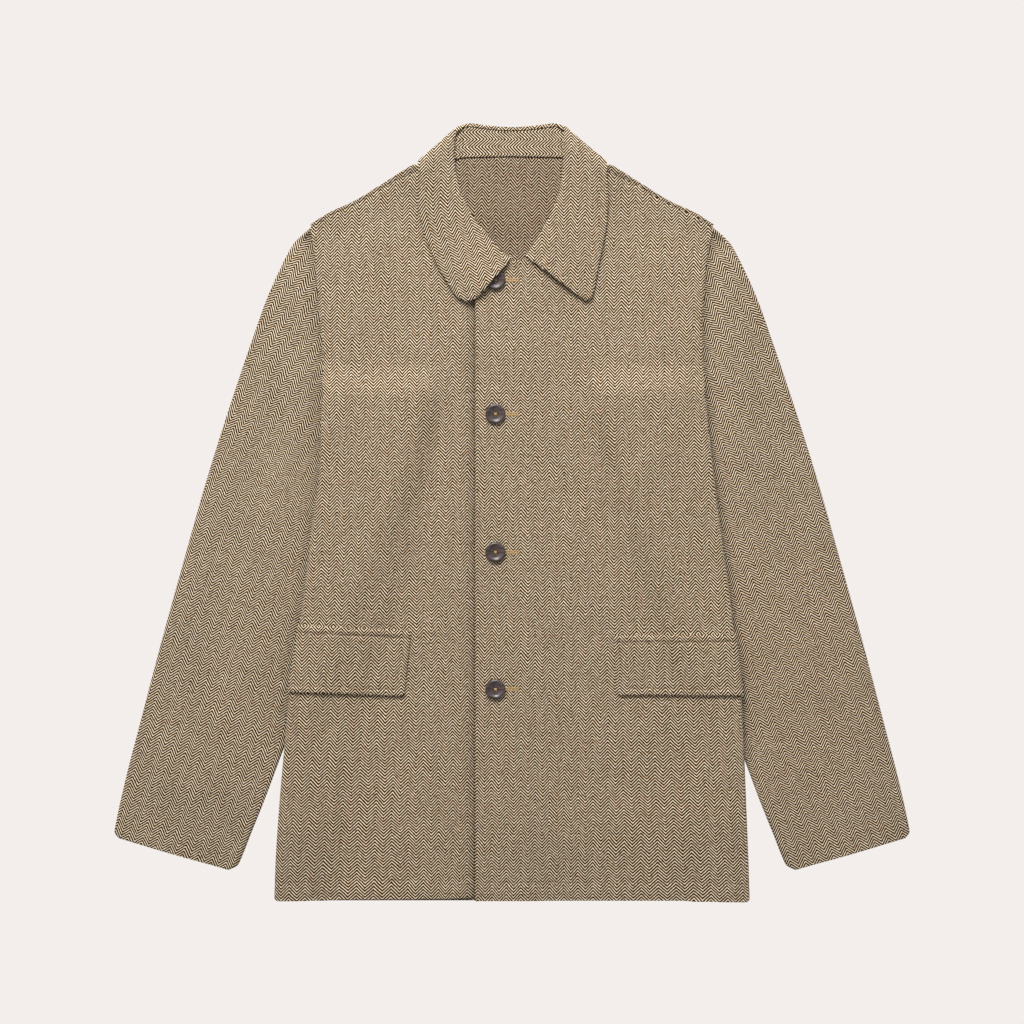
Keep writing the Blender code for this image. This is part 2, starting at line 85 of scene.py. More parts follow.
def add_node(tree, kind, inputs=None, **settings):
    """Add a node with its settings. An input takes a value, a socket or another node."""
    made = tree.nodes.new(kind)
    for name, value in settings.items():
        setattr(made, name, value)
    for name, value in (inputs or {}).items():
        if isinstance(value, bpy.types.Node):
            value = value.outputs[0]
        if isinstance(value, bpy.types.NodeSocket):
            tree.links.new(value, made.inputs[name])
        else:
            made.inputs[name].default_value = value
    return made


def brushed_herringbone_wool(name, pale, tan, brown):
    """Cloth whose two yarns cross in slanting lines that turn back every half column."""
    material = bpy.data.materials.new(name)
    material.use_nodes = True
    tree = material.node_tree
    weave = add_node(tree, "ShaderNodeUVMap", uv_map="weave")
    threads = add_node(tree, "ShaderNodeSeparateXYZ", {0: weave})
    wander = add_node(tree, "ShaderNodeTexNoise", {"Vector": weave, "Scale": 24.0, "Detail": 2.0})
    drift = add_node(tree, "ShaderNodeMath", {0: wander, 1: COLUMN_DRIFT},
                     operation="MULTIPLY")
    across = add_node(tree, "ShaderNodeMath", {0: threads.outputs[0], 1: 1.0 / MM, 2: drift},
                      operation="MULTIPLY_ADD")
    folded = add_node(tree, "ShaderNodeMath", {0: across, 1: HALF_COLUMN}, operation="PINGPONG")
    rise = add_node(tree, "ShaderNodeMath", {0: threads.outputs[1], 1: 1.0 / (TWILL_ALONG * MM)},
                    operation="MULTIPLY")
    slant = add_node(tree, "ShaderNodeMath", {0: folded, 1: 1.0 / TWILL_ACROSS, 2: rise},
                     operation="MULTIPLY_ADD")
    line = add_node(tree, "ShaderNodeMath", {0: wander, 1: LINE_DRIFT, 2: slant},
                    operation="MULTIPLY_ADD")
    turns = add_node(tree, "ShaderNodeMath", {0: line, 1: 2.0 * math.pi}, operation="MULTIPLY")
    wave = add_node(tree, "ShaderNodeMath", {0: turns}, operation="SINE")
    slub = add_node(tree, "ShaderNodeTexNoise", {"Vector": weave, "Scale": 420.0, "Detail": 1.0})
    level = add_node(tree, "ShaderNodeMath", {0: slub, 1: 2.4, 2: -2.07},
                     operation="MULTIPLY_ADD")
    lines = add_node(tree, "ShaderNodeMath", {0: wave, 1: LINE_EDGE, 2: level},
                     operation="MULTIPLY_ADD", use_clamp=True)

    # Each crossing shows its own bit of yarn, from tan to pale cream.
    run = add_node(tree, "ShaderNodeMath", {0: across, 1: YARN_RUN}, operation="DIVIDE")
    run = add_node(tree, "ShaderNodeMath", {0: run}, operation="FLOOR")
    pick = add_node(tree, "ShaderNodeMath", {0: line}, operation="FLOOR")
    crossing = add_node(tree, "ShaderNodeCombineXYZ", {0: run, 1: pick})
    yarn = add_node(tree, "ShaderNodeTexWhiteNoise", {"Vector": crossing})
    light = add_node(tree, "ShaderNodeMix", {0: yarn, 6: linear(tan), 7: linear(pale)},
                     data_type="RGBA")

    # Rust and grey wool is carded into the yarn, so its flecks run along the threads.
    strand = add_node(tree, "ShaderNodeMath", {0: across, 1: TWILL_ACROSS / 2.0},
                      operation="DIVIDE")
    strand = add_node(tree, "ShaderNodeMath", {0: strand}, operation="FLOOR")
    length = add_node(tree, "ShaderNodeMath", {0: threads.outputs[1], 1: 1.0 / (FLECK * MM)},
                      operation="MULTIPLY")
    spun = add_node(tree, "ShaderNodeCombineXYZ", {0: strand, 1: length})
    fleck = add_node(tree, "ShaderNodeTexNoise", {"Vector": spun, "Scale": 1.0, "Detail": 2.0})
    rust = add_node(tree, "ShaderNodeMath", {0: fleck, 1: 8.0, 2: -4.9},
                    operation="MULTIPLY_ADD", use_clamp=True)
    grey = add_node(tree, "ShaderNodeMath", {0: fleck, 1: -9.0, 2: 3.5},
                    operation="MULTIPLY_ADD", use_clamp=True)
    light = add_node(tree, "ShaderNodeMix", {0: rust, 6: light.outputs[2], 7: linear("#cb8f55")},
                     data_type="RGBA")
    light = add_node(tree, "ShaderNodeMix", {0: grey, 6: light.outputs[2], 7: linear("#a3988c")},
                     data_type="RGBA")
    dark = add_node(tree, "ShaderNodeMix", {0: rust, 6: linear(brown), 7: linear("#5a3216")},
                    data_type="RGBA")
    yarns = add_node(tree, "ShaderNodeMix", {0: lines, 6: dark.outputs[2], 7: light.outputs[2]},
                     data_type="RGBA")
    place = add_node(tree, "ShaderNodeTexCoord").outputs["Object"]
    patch = add_node(tree, "ShaderNodeTexNoise", {"Vector": place, "Detail": 5.0,
                                                  "Scale": 1.0 / (DAMP_PATCH * MM),
                                                  "Roughness": 0.6})
    shade = add_node(tree, "ShaderNodeMath", {0: patch, 1: 0.22, 2: 0.89},
                     operation="MULTIPLY_ADD")
    # Painted shade: a second UV layer darkens the colour where cloth dips beside a seam or an
    # edge, standing in for the shadow there.
    painted_shade = add_node(tree, "ShaderNodeUVMap", uv_map="painted_shade")
    painted_shade_share = add_node(tree, "ShaderNodeSeparateXYZ", {0: painted_shade})
    painted_shade_factor = add_node(tree, "ShaderNodeMath", {0: painted_shade_share, 1: -PAINTED_SHADE_DEPTH, 2: 1.0},
                      operation="MULTIPLY_ADD")
    shade = add_node(tree, "ShaderNodeMath", {0: shade, 1: painted_shade_factor}, operation="MULTIPLY")
    cloth = add_node(tree, "ShaderNodeMix", {0: 1.0, 6: yarns.outputs[2], 7: shade},
                     data_type="RGBA", blend_type="MULTIPLY")
    hair = add_node(tree, "ShaderNodeTexNoise", {"Vector": place, "Scale": 900.0, "Detail": 1.0})
    nap = add_node(tree, "ShaderNodeMath", {0: hair, 1: 0.4, 2: lines}, operation="MULTIPLY_ADD")
    relief = add_node(tree, "ShaderNodeBump", {"Height": nap, "Distance": NAP * MM,
                                               "Strength": 0.4})
    matt = add_node(tree, "ShaderNodeMath", {0: lines, 1: -0.06, 2: 0.96},
                    operation="MULTIPLY_ADD")
    shader = tree.nodes["Principled BSDF"]
    tree.links.new(cloth.outputs[2], shader.inputs["Base Color"])
    tree.links.new(matt.outputs[0], shader.inputs["Roughness"])
    tree.links.new(relief.outputs[0], shader.inputs["Normal"])
    shader.inputs["Specular IOR Level"].default_value = 0.08
    shader.inputs["Sheen Weight"].default_value = 0.03
    shader.inputs["Sheen Roughness"].default_value = 0.6
    return material


body_wool = brushed_herringbone_wool("brushed_herringbone_wool", "#faead0", "#e2ceae", "#372202")

# The back is one panel of the cloth, wrong side up inside the neck. It is cut wider than
# it shows: each side turns in as a pleat up to the armhole, and the shoulders roll over
# to meet the fronts.
CLOTH = 2.0               # thickness of the wool
SEAM = 0.3                # clearance between pieces sewn edge to edge
AIR = 0.5                 # clearance between layers
LAYER = CLOTH + AIR
FOLD = CLOTH + AIR / 2    # outer radius of a fold pressed flat
HALF_TURN = np.linspace(0.0, math.pi, 9)
LEFT, RIGHT = 1, -1
GRID = 3.2                # spacing of the points on a panel
EDGE_BAND = 9.0           # a finished edge has closer points this far in
HEM = -389.0
ARMHOLE_FOOT = 112.0
SHOULDER_END = 285.0
CHEST_HALF, HEM_HALF = 279.0, 269.0
PLEAT_TOP_SLOPE = 11.0
# From the centre line to the side folds, then to the armhole seams.
# columns: height, right, left
BODY_EDGE = (
    (HEM, 234.5, 234.5), (-386.0, 237.0, 237.0), (-353.0, 236.0, 236.0),
    (-292.0, 232.0, 233.5), (-240.0, 227.5, 231.5), (-176.0, 221.5, 228.5),
    (-128.0, 214.0, 222.5), (-88.0, 208.0, 218.0), (-28.0, 201.0, 210.0),
    (42.0, 192.0, 201.0), (ARMHOLE_FOOT, 190.0, 194.0), (147.0, 188.5, 191.0),
    (185.0, 191.0, 190.5), (219.0, 194.0, 192.0), (245.0, 196.0, 194.0),
    (266.0, 198.5, 197.0), (SHOULDER_END, 202.0, 202.0))
# columns: across, height
SHOULDER = ((77.0, 341.5), (91.0, 343.6), (97.0, 347.8), (107.0, 343.0), (128.0, 330.0),
            (159.0, 311.0), (183.0, 300.0), (202.0, 288.0))
SHOULDER_SLOPE = math.radians(27.0)
BACK_CENTRE_ROWS = (170.0, 215.0, 255.0, 280.0, 300.0, 318.0, 336.0)
BACK_NECK = ((0.0, 354.5), (26.0, 354.0), (50.0, 353.0))
# Underarm edge of the sleeves, which reach in between the back and the fronts.
# columns: height, across
UNDERARM = ((101.0, 101.0), (86.0, 107.0), (68.0, 114.0), (42.0, 124.0), (8.0, 137.0),
            (-44.0, 156.0), (-108.0, 180.0), (-172.0, 204.0), (-236.0, 228.0))
# Soft ridges of the cloth, through three points each.
# columns: start x, start y, middle x, middle y, end x, end y, half width, height
FRONT_CREASES = (
    (150, 72, 118, 20, 112, -40, 9, 1.3), (60, 10, 67, -50, 63, -118, 11, 0.8),
    (-150, 215, -166, 150, -168, 82, 14, 1.0), (-122, 66, -108, 0, -126, -66, 17, 0.6),
    (-64, -150, -50, -235, -66, -335, 15, 1.0), (92, -222, 106, -290, 97, -352, 14, 1.1),
    (171, 228, 178, 168, 166, 96, 12, 1.2), (158, -218, 186, -272, 188, -338, 13, 0.9),
    (18, 152, 44, 112, 88, 98, 11, 0.6), (-190, -215, -176, -268, -182, -330, 12, 1.1),
    (-96, 168, -84, 128, -104, 88, 15, 0.35), (128, 190, 112, 150, 118, 118, 12, 0.6))
BACK_CREASES = (
    (-120, 210, -60, 196, -14, 214, 13, 0.5), (10, 150, 70, 128, 128, 150, 15, 0.6),
    (-150, 40, -92, 8, -60, -40, 14, 0.6), (40, -60, 96, -90, 120, -150, 12, 0.5),
    (-30, -210, -70, -250, -66, -320, 13, 0.6), (100, -230, 84, -290, 96, -340, 12, 0.5))


def smooth(knots, values, at):
    """A curve without bumps through values at rising knots, read along the first axis."""
    knots, values = np.asarray(knots, float), np.asarray(values, float)
    shape = (-1,) + (1,) * (values.ndim - 1)
    step = np.diff(knots).reshape(shape)
    slope = np.diff(values, axis=0) / step
    agree = slope[:-1] * slope[1:]
    tangent = np.empty_like(values)
    tangent[0], tangent[-1] = slope[0], slope[-1]
    tangent[1:-1] = np.where(agree > 0, 2 * agree / np.where(
        agree > 0, slope[:-1] + slope[1:], 1.0), 0.0)
    at = np.clip(np.asarray(at, float), knots[0], knots[-1])
    low = np.clip(np.searchsorted(knots, at, side="right") - 1, 0, len(knots) - 2)
    width = np.diff(knots)[low].reshape(shape)
    t = (at - knots[low]).reshape(shape) / width
    return (values[low] * (1 + 2 * t) * (1 - t) ** 2 + values[low + 1] * t * t * (3 - 2 * t)
            + width * (tangent[low] * t * (1 - t) ** 2 - tangent[low + 1] * t * t * (1 - t)))


def through(rows, column, at, key=0):
    """Read one column of a table as a smooth curve over its key column."""
    order = np.array(sorted(rows, key=lambda row: row[key]), float)
    at = np.asarray(at, float)
    return smooth(order[:, key], order[:, column], at.ravel()).reshape(at.shape)


def ramp(value, low, high):
    """Rise smoothly from 0 at low to 1 at high."""
    share = np.clip((value - low) / (high - low), 0.0, 1.0)
    return share * share * (3.0 - 2.0 * share)


def nearest_on(path, x, y):
    """Distance to a line of points, and how far along it, from 0 to 1."""
    path = np.asarray(path, float)
    lengths = np.hypot(*np.diff(path, axis=0).T)
    before = np.concatenate(([0.0], np.cumsum(lengths)))
    best = np.full(np.shape(x), np.inf)
    share = np.zeros(np.shape(x))
    for start, end, length, reached in zip(path, path[1:], lengths, before):
        run = (end - start) / max(length, 1e-9)
        t = np.clip((x - start[0]) * run[0] + (y - start[1]) * run[1], 0.0, length)
        gap = np.hypot(x - start[0] - t * run[0], y - start[1] - t * run[1])
        closer = gap < best
        best = np.where(closer, gap, best)
        share = np.where(closer, (reached + t) / before[-1], share)
    return best, share


def bent(row, points=12):
    """Points on a crease, a bent line through its middle."""
    start, middle, end = (np.array(row[i:i + 2], float) for i in (0, 2, 4))
    pull = 2.0 * middle - (start + end) / 2.0
    t = np.linspace(0.0, 1.0, points)[:, None]
    return start * (1 - t) ** 2 + 2.0 * pull * t * (1 - t) + end * t * t


def creased(table, x, y):
    """Height of the soft ridges, which fade towards their ends."""
    lift = np.zeros(np.shape(x))
    for row in table:
        gap, share = nearest_on(bent(row), x, y)
        lift += row[7] * np.exp(-(gap / row[6]) ** 2) * np.sin(np.pi * share) ** 0.8
    return lift


def body_edge(height, side):
    return through(BODY_EDGE, 2 if side == LEFT else 1, height)


def pleat_depth(height, side):
    """How far the cloth is turned in beside the fold."""
    return np.interp(height, (HEM, ARMHOLE_FOOT), (HEM_HALF, CHEST_HALF)) \
        - body_edge(height, side)


def neck_raise(across, height, early=0.0):
    """How far a panel rises over the fall of the collar behind the neck."""
    fall_edge = 322.0 + 26.0 * (across / 88.0) ** 2 - early
    central = ramp(-across, -64.0, -30.0)
    start = fall_edge - 36.0 - 26.0 * central
    end = fall_edge - 6.0 - 20.0 * central
    return LAYER * ramp((height - start) / (end - start), 0.0, 1.0) \
        * ramp(early - across, -130.0, -98.0)


def slack(x, y):
    """Air under the fronts: a low swell and creases, none under the collar or edges."""
    across = np.abs(x)
    clear = 1.0 - ramp(y, 150.0, 200.0) * ramp(-across, -150.0, -108.0)
    shoulder = 1.0 - ramp(y + 0.5 * across, 330.0, 372.0)
    sides = ramp(-across, -222.0, -150.0) * 0.2 + 0.8
    hem = ramp(y, HEM + 8.0, HEM + 90.0)
    return (1.5 * hem * sides + creased(FRONT_CREASES, x, y)) * clear * shoulder


def front_top(x, y, side):
    """Height of a front's right side over every layer under it."""
    across = side * x
    edge = body_edge(y, side)
    below_arm = ramp(-y, -150.0, -(ARMHOLE_FOOT + 2.0))
    pleat_end = edge - pleat_depth(np.minimum(y, ARMHOLE_FOOT), side)
    over_pleat = ramp(across, pleat_end - 32.0, pleat_end - 3.0) * below_arm
    sleeve_edge = through(UNDERARM, 1, y)
    over_sleeve = ramp(across, sleeve_edge - 40.0, sleeve_edge - 10.0) * below_arm
    arm_rise = 1.5 + 1.5 * ramp(-y, -280.0, -235.0)
    beside_arm = arm_rise * ramp(across, edge - 100.0, edge - 4.0) * (1.0 - below_arm)
    overlap = ramp(-across, -52.0, -9.0) if side == LEFT else 0.0
    return (LAYER + CLOTH + neck_raise(np.abs(x), y, 14.0) + beside_arm + slack(x, y)
            + LAYER * (2.0 * over_pleat + 2.0 * over_sleeve + overlap))


def spaced(length, step, fine_start=False, fine_end=False):
    """Shares of a length, a millimetre apart beside a finished edge."""
    at = [0.0]
    while at[-1] < length:
        fine = (fine_start and at[-1] < EDGE_BAND) or (
            fine_end and at[-1] > length - EDGE_BAND)
        at.append(at[-1] + (1.0 if fine else step))
    return np.array(at) / at[-1]


def grid_rows(ends, step, fine_first=0):
    """Places between the rows of a table, as near as step. The first gaps are finer."""
    at = [0.0]
    for i, gap in enumerate(np.max(np.abs(np.diff(ends, axis=0)), axis=1)):
        count = max(1, int(math.ceil(gap / (1.0 if i < fine_first else step))))
        at += [i + (k + 1) / count for k in range(count)]
    return np.array(at)


def cloth_piece(name, node, patches, material, painted_shade_at=None):
    """Join patches of (points, threads) into one cloth, thickened inwards.

    Seen from the right side, a patch's rows run up and its columns run to the right.
    Its last argument gives how much painted shade darkens the colour, from 0 to 1, at a place on
    the cloth.
    """
    points, threads, faces = [], [], []
    for spots, weave in patches:
        rows, columns = spots.shape[:2]
        index = np.arange(rows * columns).reshape(rows, columns) + sum(map(len, points))
        points.append(spots.reshape(-1, 3))
        threads.append(weave.reshape(-1, 2))
        faces.append(np.stack([index[:-1, :-1], index[:-1, 1:], index[1:, 1:],
                               index[1:, :-1]], axis=-1).reshape(-1, 4))
    points, threads, faces = map(np.concatenate, (points, threads, faces))
    data = bpy.data.meshes.new(name)
    data.from_pydata((points * MM).tolist(), [], faces.tolist())
    layer = data.uv_layers.new(name="weave")
    layer.data.foreach_set("uv", (threads[faces.ravel()] * MM).astype(np.float32).ravel())
    # The painted shade goes to the material through a UV layer of its own.
    if painted_shade_at:
        painted_shade_share = np.clip(painted_shade_at(points[:, 0], points[:, 1]), 0.0, 1.0)[faces.ravel()]
        layer = data.uv_layers.new(name="painted_shade")
        layer.data.foreach_set("uv", np.stack([painted_shade_share, painted_shade_share], -1).astype(np.float32).ravel())
    sewn = bmesh.new()
    sewn.from_mesh(data)
    bmesh.ops.remove_doubles(sewn, verts=sewn.verts, dist=0.01 * MM)
    sewn.to_mesh(data)
    sewn.free()
    data.shade_smooth()
    data.materials.append(material)
    piece = bpy.data.objects.new(name, data)
    bpy.context.scene.collection.objects.link(piece)
    wall = piece.modifiers.new("cloth", "SOLIDIFY")
    wall.thickness = CLOTH * MM
    wall.offset = -1.0
    edge = piece.modifiers.new("turned_edge", "BEVEL")
    edge.width = 0.45 * MM
    edge.segments = 2
    edge.limit_method = "ANGLE"
    edge.angle_limit = math.radians(60.0)
    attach(piece, "root")
    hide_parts(node)
    return piece


def mirrored(patches, flip):
    """Turn patches over where their columns would run the wrong way."""
    return [(spots[:, ::-1], weave[:, ::-1]) if flip else (spots, weave)
            for spots, weave in patches]


def grain(x, y):
    """Threads of a body panel: straight down, leaning out with the sides below."""
    across = np.abs(x)
    lean = 20.0 * ramp(across, 70.0, 240.0) * np.clip((-40.0 - y) / 340.0, 0.0, 1.0)
    return np.stack([x - np.sign(x) * lean, y], axis=-1)


def shoulder_line(across, inset):
    """Points near a shoulder's outline, inset square to it, as (across, height)."""
    outline = through(SHOULDER, 1, across)
    return np.stack([across - inset * math.sin(SHOULDER_SLOPE),
                     outline - inset * math.cos(SHOULDER_SLOPE)], axis=-1)


def seam_inset(across):
    """The shoulder seam lies forward of the fold, more so beside the collar."""
    return 3.6 + 4.0 * ramp(-across, -130.0, -100.0)


def panel(side, inner_line, front_edge, columns, shoulder_inset, step, fine_hem):
    """Points over a panel as (across, height), and how many rows lie below the arm."""
    below = [(front_edge, row[0], row[0]) for row in BODY_EDGE if row[0] <= ARMHOLE_FOOT]
    shares = np.linspace(ARMHOLE_FOOT, SHOULDER_END - 5.0, len(inner_line) + 1)[1:]
    ends = below + [(x, y, float(top)) for (x, y), top in zip(inner_line, shares)]
    rows = []
    for inner_x, inner_y, outer_y in ends:
        outer_x = float(body_edge(outer_y, side)) - (FOLD if outer_y <= ARMHOLE_FOOT else 0.0)
        rows.append(np.stack([inner_x + columns * (outer_x - inner_x),
                              inner_y + columns * (outer_y - inner_y)], axis=-1))
    across = SHOULDER[0][0] + columns * (SHOULDER[-1][0] - SHOULDER[0][0])
    rows.append(shoulder_line(across, seam_inset(across) + shoulder_inset))
    rows = np.array(rows)
    at = grid_rows(rows[:, (0, -1)].reshape(len(rows), -1), step, fine_hem)
    return smooth(range(len(rows)), rows, at), int(np.searchsorted(at, len(below) - 1)) + 1


def pleat(edge, threads, side, surface, inward):
    """The side fold and the cloth turned in behind it, from a panel's own edge."""
    start, height = side * edge[:, 0], edge[:, 1]
    depth = pleat_depth(height, side) - FOLD
    drop = PLEAT_TOP_SLOPE * ramp(height, ARMHOLE_FOOT - 32.0, ARMHOLE_FOOT)
    turn = HALF_TURN[None, :]
    arc = np.stack([side * (start[:, None] + FOLD * np.sin(turn)),
                    np.repeat(height[:, None], len(HALF_TURN), 1),
                    edge[:, 2:3] + inward * FOLD * (1.0 - np.cos(turn))], axis=-1)
    share = np.linspace(0.0, 1.0, 12)[None, 1:]
    across = start[:, None] - share * depth[:, None]
    down = height[:, None] - drop[:, None] * share
    turned = np.stack([side * across, down,
                       surface(side * across, down) + inward * 2.0 * FOLD], axis=-1)
    spots = np.concatenate([arc, turned], axis=1)
    run = np.cumsum(np.hypot(*np.diff(spots[:, :, (0, 2)], axis=1).transpose(2, 0, 1)), 1)
    run = np.concatenate([np.zeros((len(edge), 1)), run], axis=1)
    weave = np.stack([threads[:, 0:1] + side * run, spots[:, :, 1]], axis=-1)
    return spots, weave


def back_top(x, y):
    """Height of the back's lower side. It lies on the surface but for a few creases."""
    room = ramp(-np.abs(x), -150.0, -110.0) * ramp(-y, -230.0, -170.0)
    return neck_raise(np.abs(x), y) + creased(BACK_CREASES, x, y) * room


# The wrong side shows inside the neck. Its material is a darker copy of the face's wool, painted
# shade for the hollow of the neck.
shaded_inside_wool = brushed_herringbone_wool("painted_shade_herringbone_wool", "#dacab1", "#c6b198",
                                       "#301d02")
back_patches = []
back_columns = spaced(230.0, 4.2)
for side in (LEFT, RIGHT):
    centre = [(0.0, height) for height in BACK_CENTRE_ROWS]
    plan, below_arm = panel(side, centre + list(BACK_NECK), 0.0, back_columns, 0.0, 4.2, 0)
    across = SHOULDER[0][0] + back_columns * (SHOULDER[-1][0] - SHOULDER[0][0])
    outline = through(SHOULDER, 1, across)
    inset = seam_inset(across)
    top = front_top(side * across, outline - inset, side)
    foot = neck_raise(across, outline)
    radius = (top - foot) / 2.0
    roll = []
    for turn in HALF_TURN:
        spot = shoulder_line(across, radius * (1.0 - math.sin(turn)))
        roll.append(np.stack([side * spot[:, 0], spot[:, 1],
                              foot + radius * (1.0 - math.cos(turn))], axis=-1))
    spot = shoulder_line(across, np.maximum(inset, radius + 0.1))
    roll.append(np.stack([side * spot[:, 0], spot[:, 1], top], axis=-1))
    roll = np.array(roll)
    x, y = side * plan[:, :, 0], plan[:, :, 1]
    main = np.stack([x, y, back_top(x, y)], axis=-1)
    main[-1] = roll[0]
    edge = main[:below_arm, -1]
    back_patches += mirrored([
        (main, grain(x, y)), (roll, roll[:, :, :2]),
        pleat(edge, grain(edge[:, 0], edge[:, 1]), side, lambda x, y: 0.0 * x, 1),
    ], side == LEFT)
cloth_piece("back_cloth", "back", back_patches, shaded_inside_wool)

# Each sleeve is a tube of the cloth with a seam under the arm, laid flat. Its head is
# sewn into the armhole, and below that it slips between the front and the back. The
# cuff is turned in and plain.
# columns: outer across, outer height, inner across, inner height, armhole's bend left
SLEEVE = (
    (202.4, 285.5, 101.0, 101.0, 1.0), (219.0, 270.0, 107.0, 86.0, 0.90),
    (234.0, 242.0, 114.0, 68.0, 0.78), (247.0, 212.0, 124.0, 42.0, 0.62),
    (261.0, 172.0, 137.0, 8.0, 0.44), (281.0, 112.0, 156.0, -44.0, 0.26),
    (306.0, 32.0, 180.0, -108.0, 0.11), (328.5, -48.0, 204.0, -172.0, 0.03),
    (350.5, -128.0, 228.0, -236.0, 0.0), (371.5, -208.0, 249.0, -292.0, 0.0),
    (387.0, -268.0, 262.0, -324.0, 0.0), (395.5, -306.0, 269.0, -342.0, 0.0),
    (398.0, -320.0, 275.0, -354.0, 0.0), (394.0, -326.0, 283.0, -358.0, 0.0))
ARMHOLE_SHARE = 0.66
SLEEVE_LOFT = 6.5
SLEEVE_UNDER = 2 * LAYER
SLEEVE_OVER = SLEEVE_UNDER + 2 * FOLD
SLEEVE_SWELL = 3.2        # the limp tube stays this much fuller along its middle
TUCK = 1.2                # the armhole seam pulls the sleeve this far under the front
# The sleeve sinks in beside the body, deeper where it is sewn in: depth, distance, width.
DIP = {RIGHT: (2.3, 5.0, 6.0), LEFT: (2.3, 7.0, 10.0)}
# How far the columns of the herringbone lean out from straight down.
# columns: height, right, left (degrees)
SLEEVE_GRAIN = ((-290.0, 18.0, 17.0), (-140.0, 16.0, 20.0), (-50.0, 17.0, 21.0),
                (12.0, 19.0, 23.0), (72.0, 26.0, 25.0), (132.0, 29.0, 26.0),
                (192.0, 31.0, 30.0), (285.0, 33.0, 32.0))
SLEEVE_CREASES = {RIGHT: (
    (-222, 226, -240, 150, -264, 58, 9, 1.7), (-204, 118, -228, 36, -262, -64, 9, 1.3),
    (-288, 44, -312, -58, -346, -182, 10, 1.3), (-248, -84, -280, -172, -300, -252, 9, 1.0),
    (-223, 271, -216, 266, -207, 254, 4, 1.2), (-320, -150, -338, -220, -350, -300, 8, 0.9)),
    LEFT: (
    (228, 216, 234, 152, 240, 88, 8, 2.3), (262, 122, 286, 38, 304, -44, 10, 1.3),
    (252, -58, 280, -150, 302, -236, 10, 1.1), (330, -88, 354, -180, 374, -276, 9, 1.2),
    (203, 247, 212, 249, 219, 263, 3.5, 1.4), (214, 70, 232, -10, 262, -90, 9, 1.0))}
UNDERSLEEVE_CREASES = {side: tuple(
    (row[0] + 9 * side, row[1] - 22, row[2] + 6 * side, row[3] - 30, row[4] + 8 * side,
     row[5] - 12, row[6], 0.5 * row[7]) for row in rows[1:4])
    for side, rows in SLEEVE_CREASES.items()}


def sleeve_heights(across, height, side):
    """Underside and top of a sleeve, between back and front beside the fold."""
    inside = body_edge(height, side) - across
    below_arm = ramp(-height, -160.0, -(ARMHOLE_FOOT + 8.0))
    under = SLEEVE_UNDER * ramp(inside, -42.0, -10.0) * below_arm
    beside = front_top(side * body_edge(height, side), height, side)
    seam = np.where(height > ARMHOLE_FOOT, np.minimum(SLEEVE_OVER, beside), SLEEVE_OVER)
    return under, seam + (SLEEVE_LOFT - seam) * ramp(-inside, 8.0, 70.0)


def sleeve_threads(x, y, side):
    """Threads follow a curve that leans out less and less towards the cuff."""
    heights = np.arange(300.0, -380.0, -2.0)
    lean = np.radians(through(SLEEVE_GRAIN, 2 if side == LEFT else 1, heights))
    drift = np.concatenate(([0.0], np.cumsum(2.0 * np.tan(lean[:-1]))))
    length = np.concatenate(([0.0], np.cumsum(2.0 / np.cos(lean[:-1]))))
    centre = 180.0 + drift
    at = lambda values: np.interp(-y, -heights, values)
    aside = side * x - at(centre)
    return np.stack([side * aside * np.cos(at(lean)),
                     -(at(length) + aside * np.sin(at(lean)))], axis=-1)


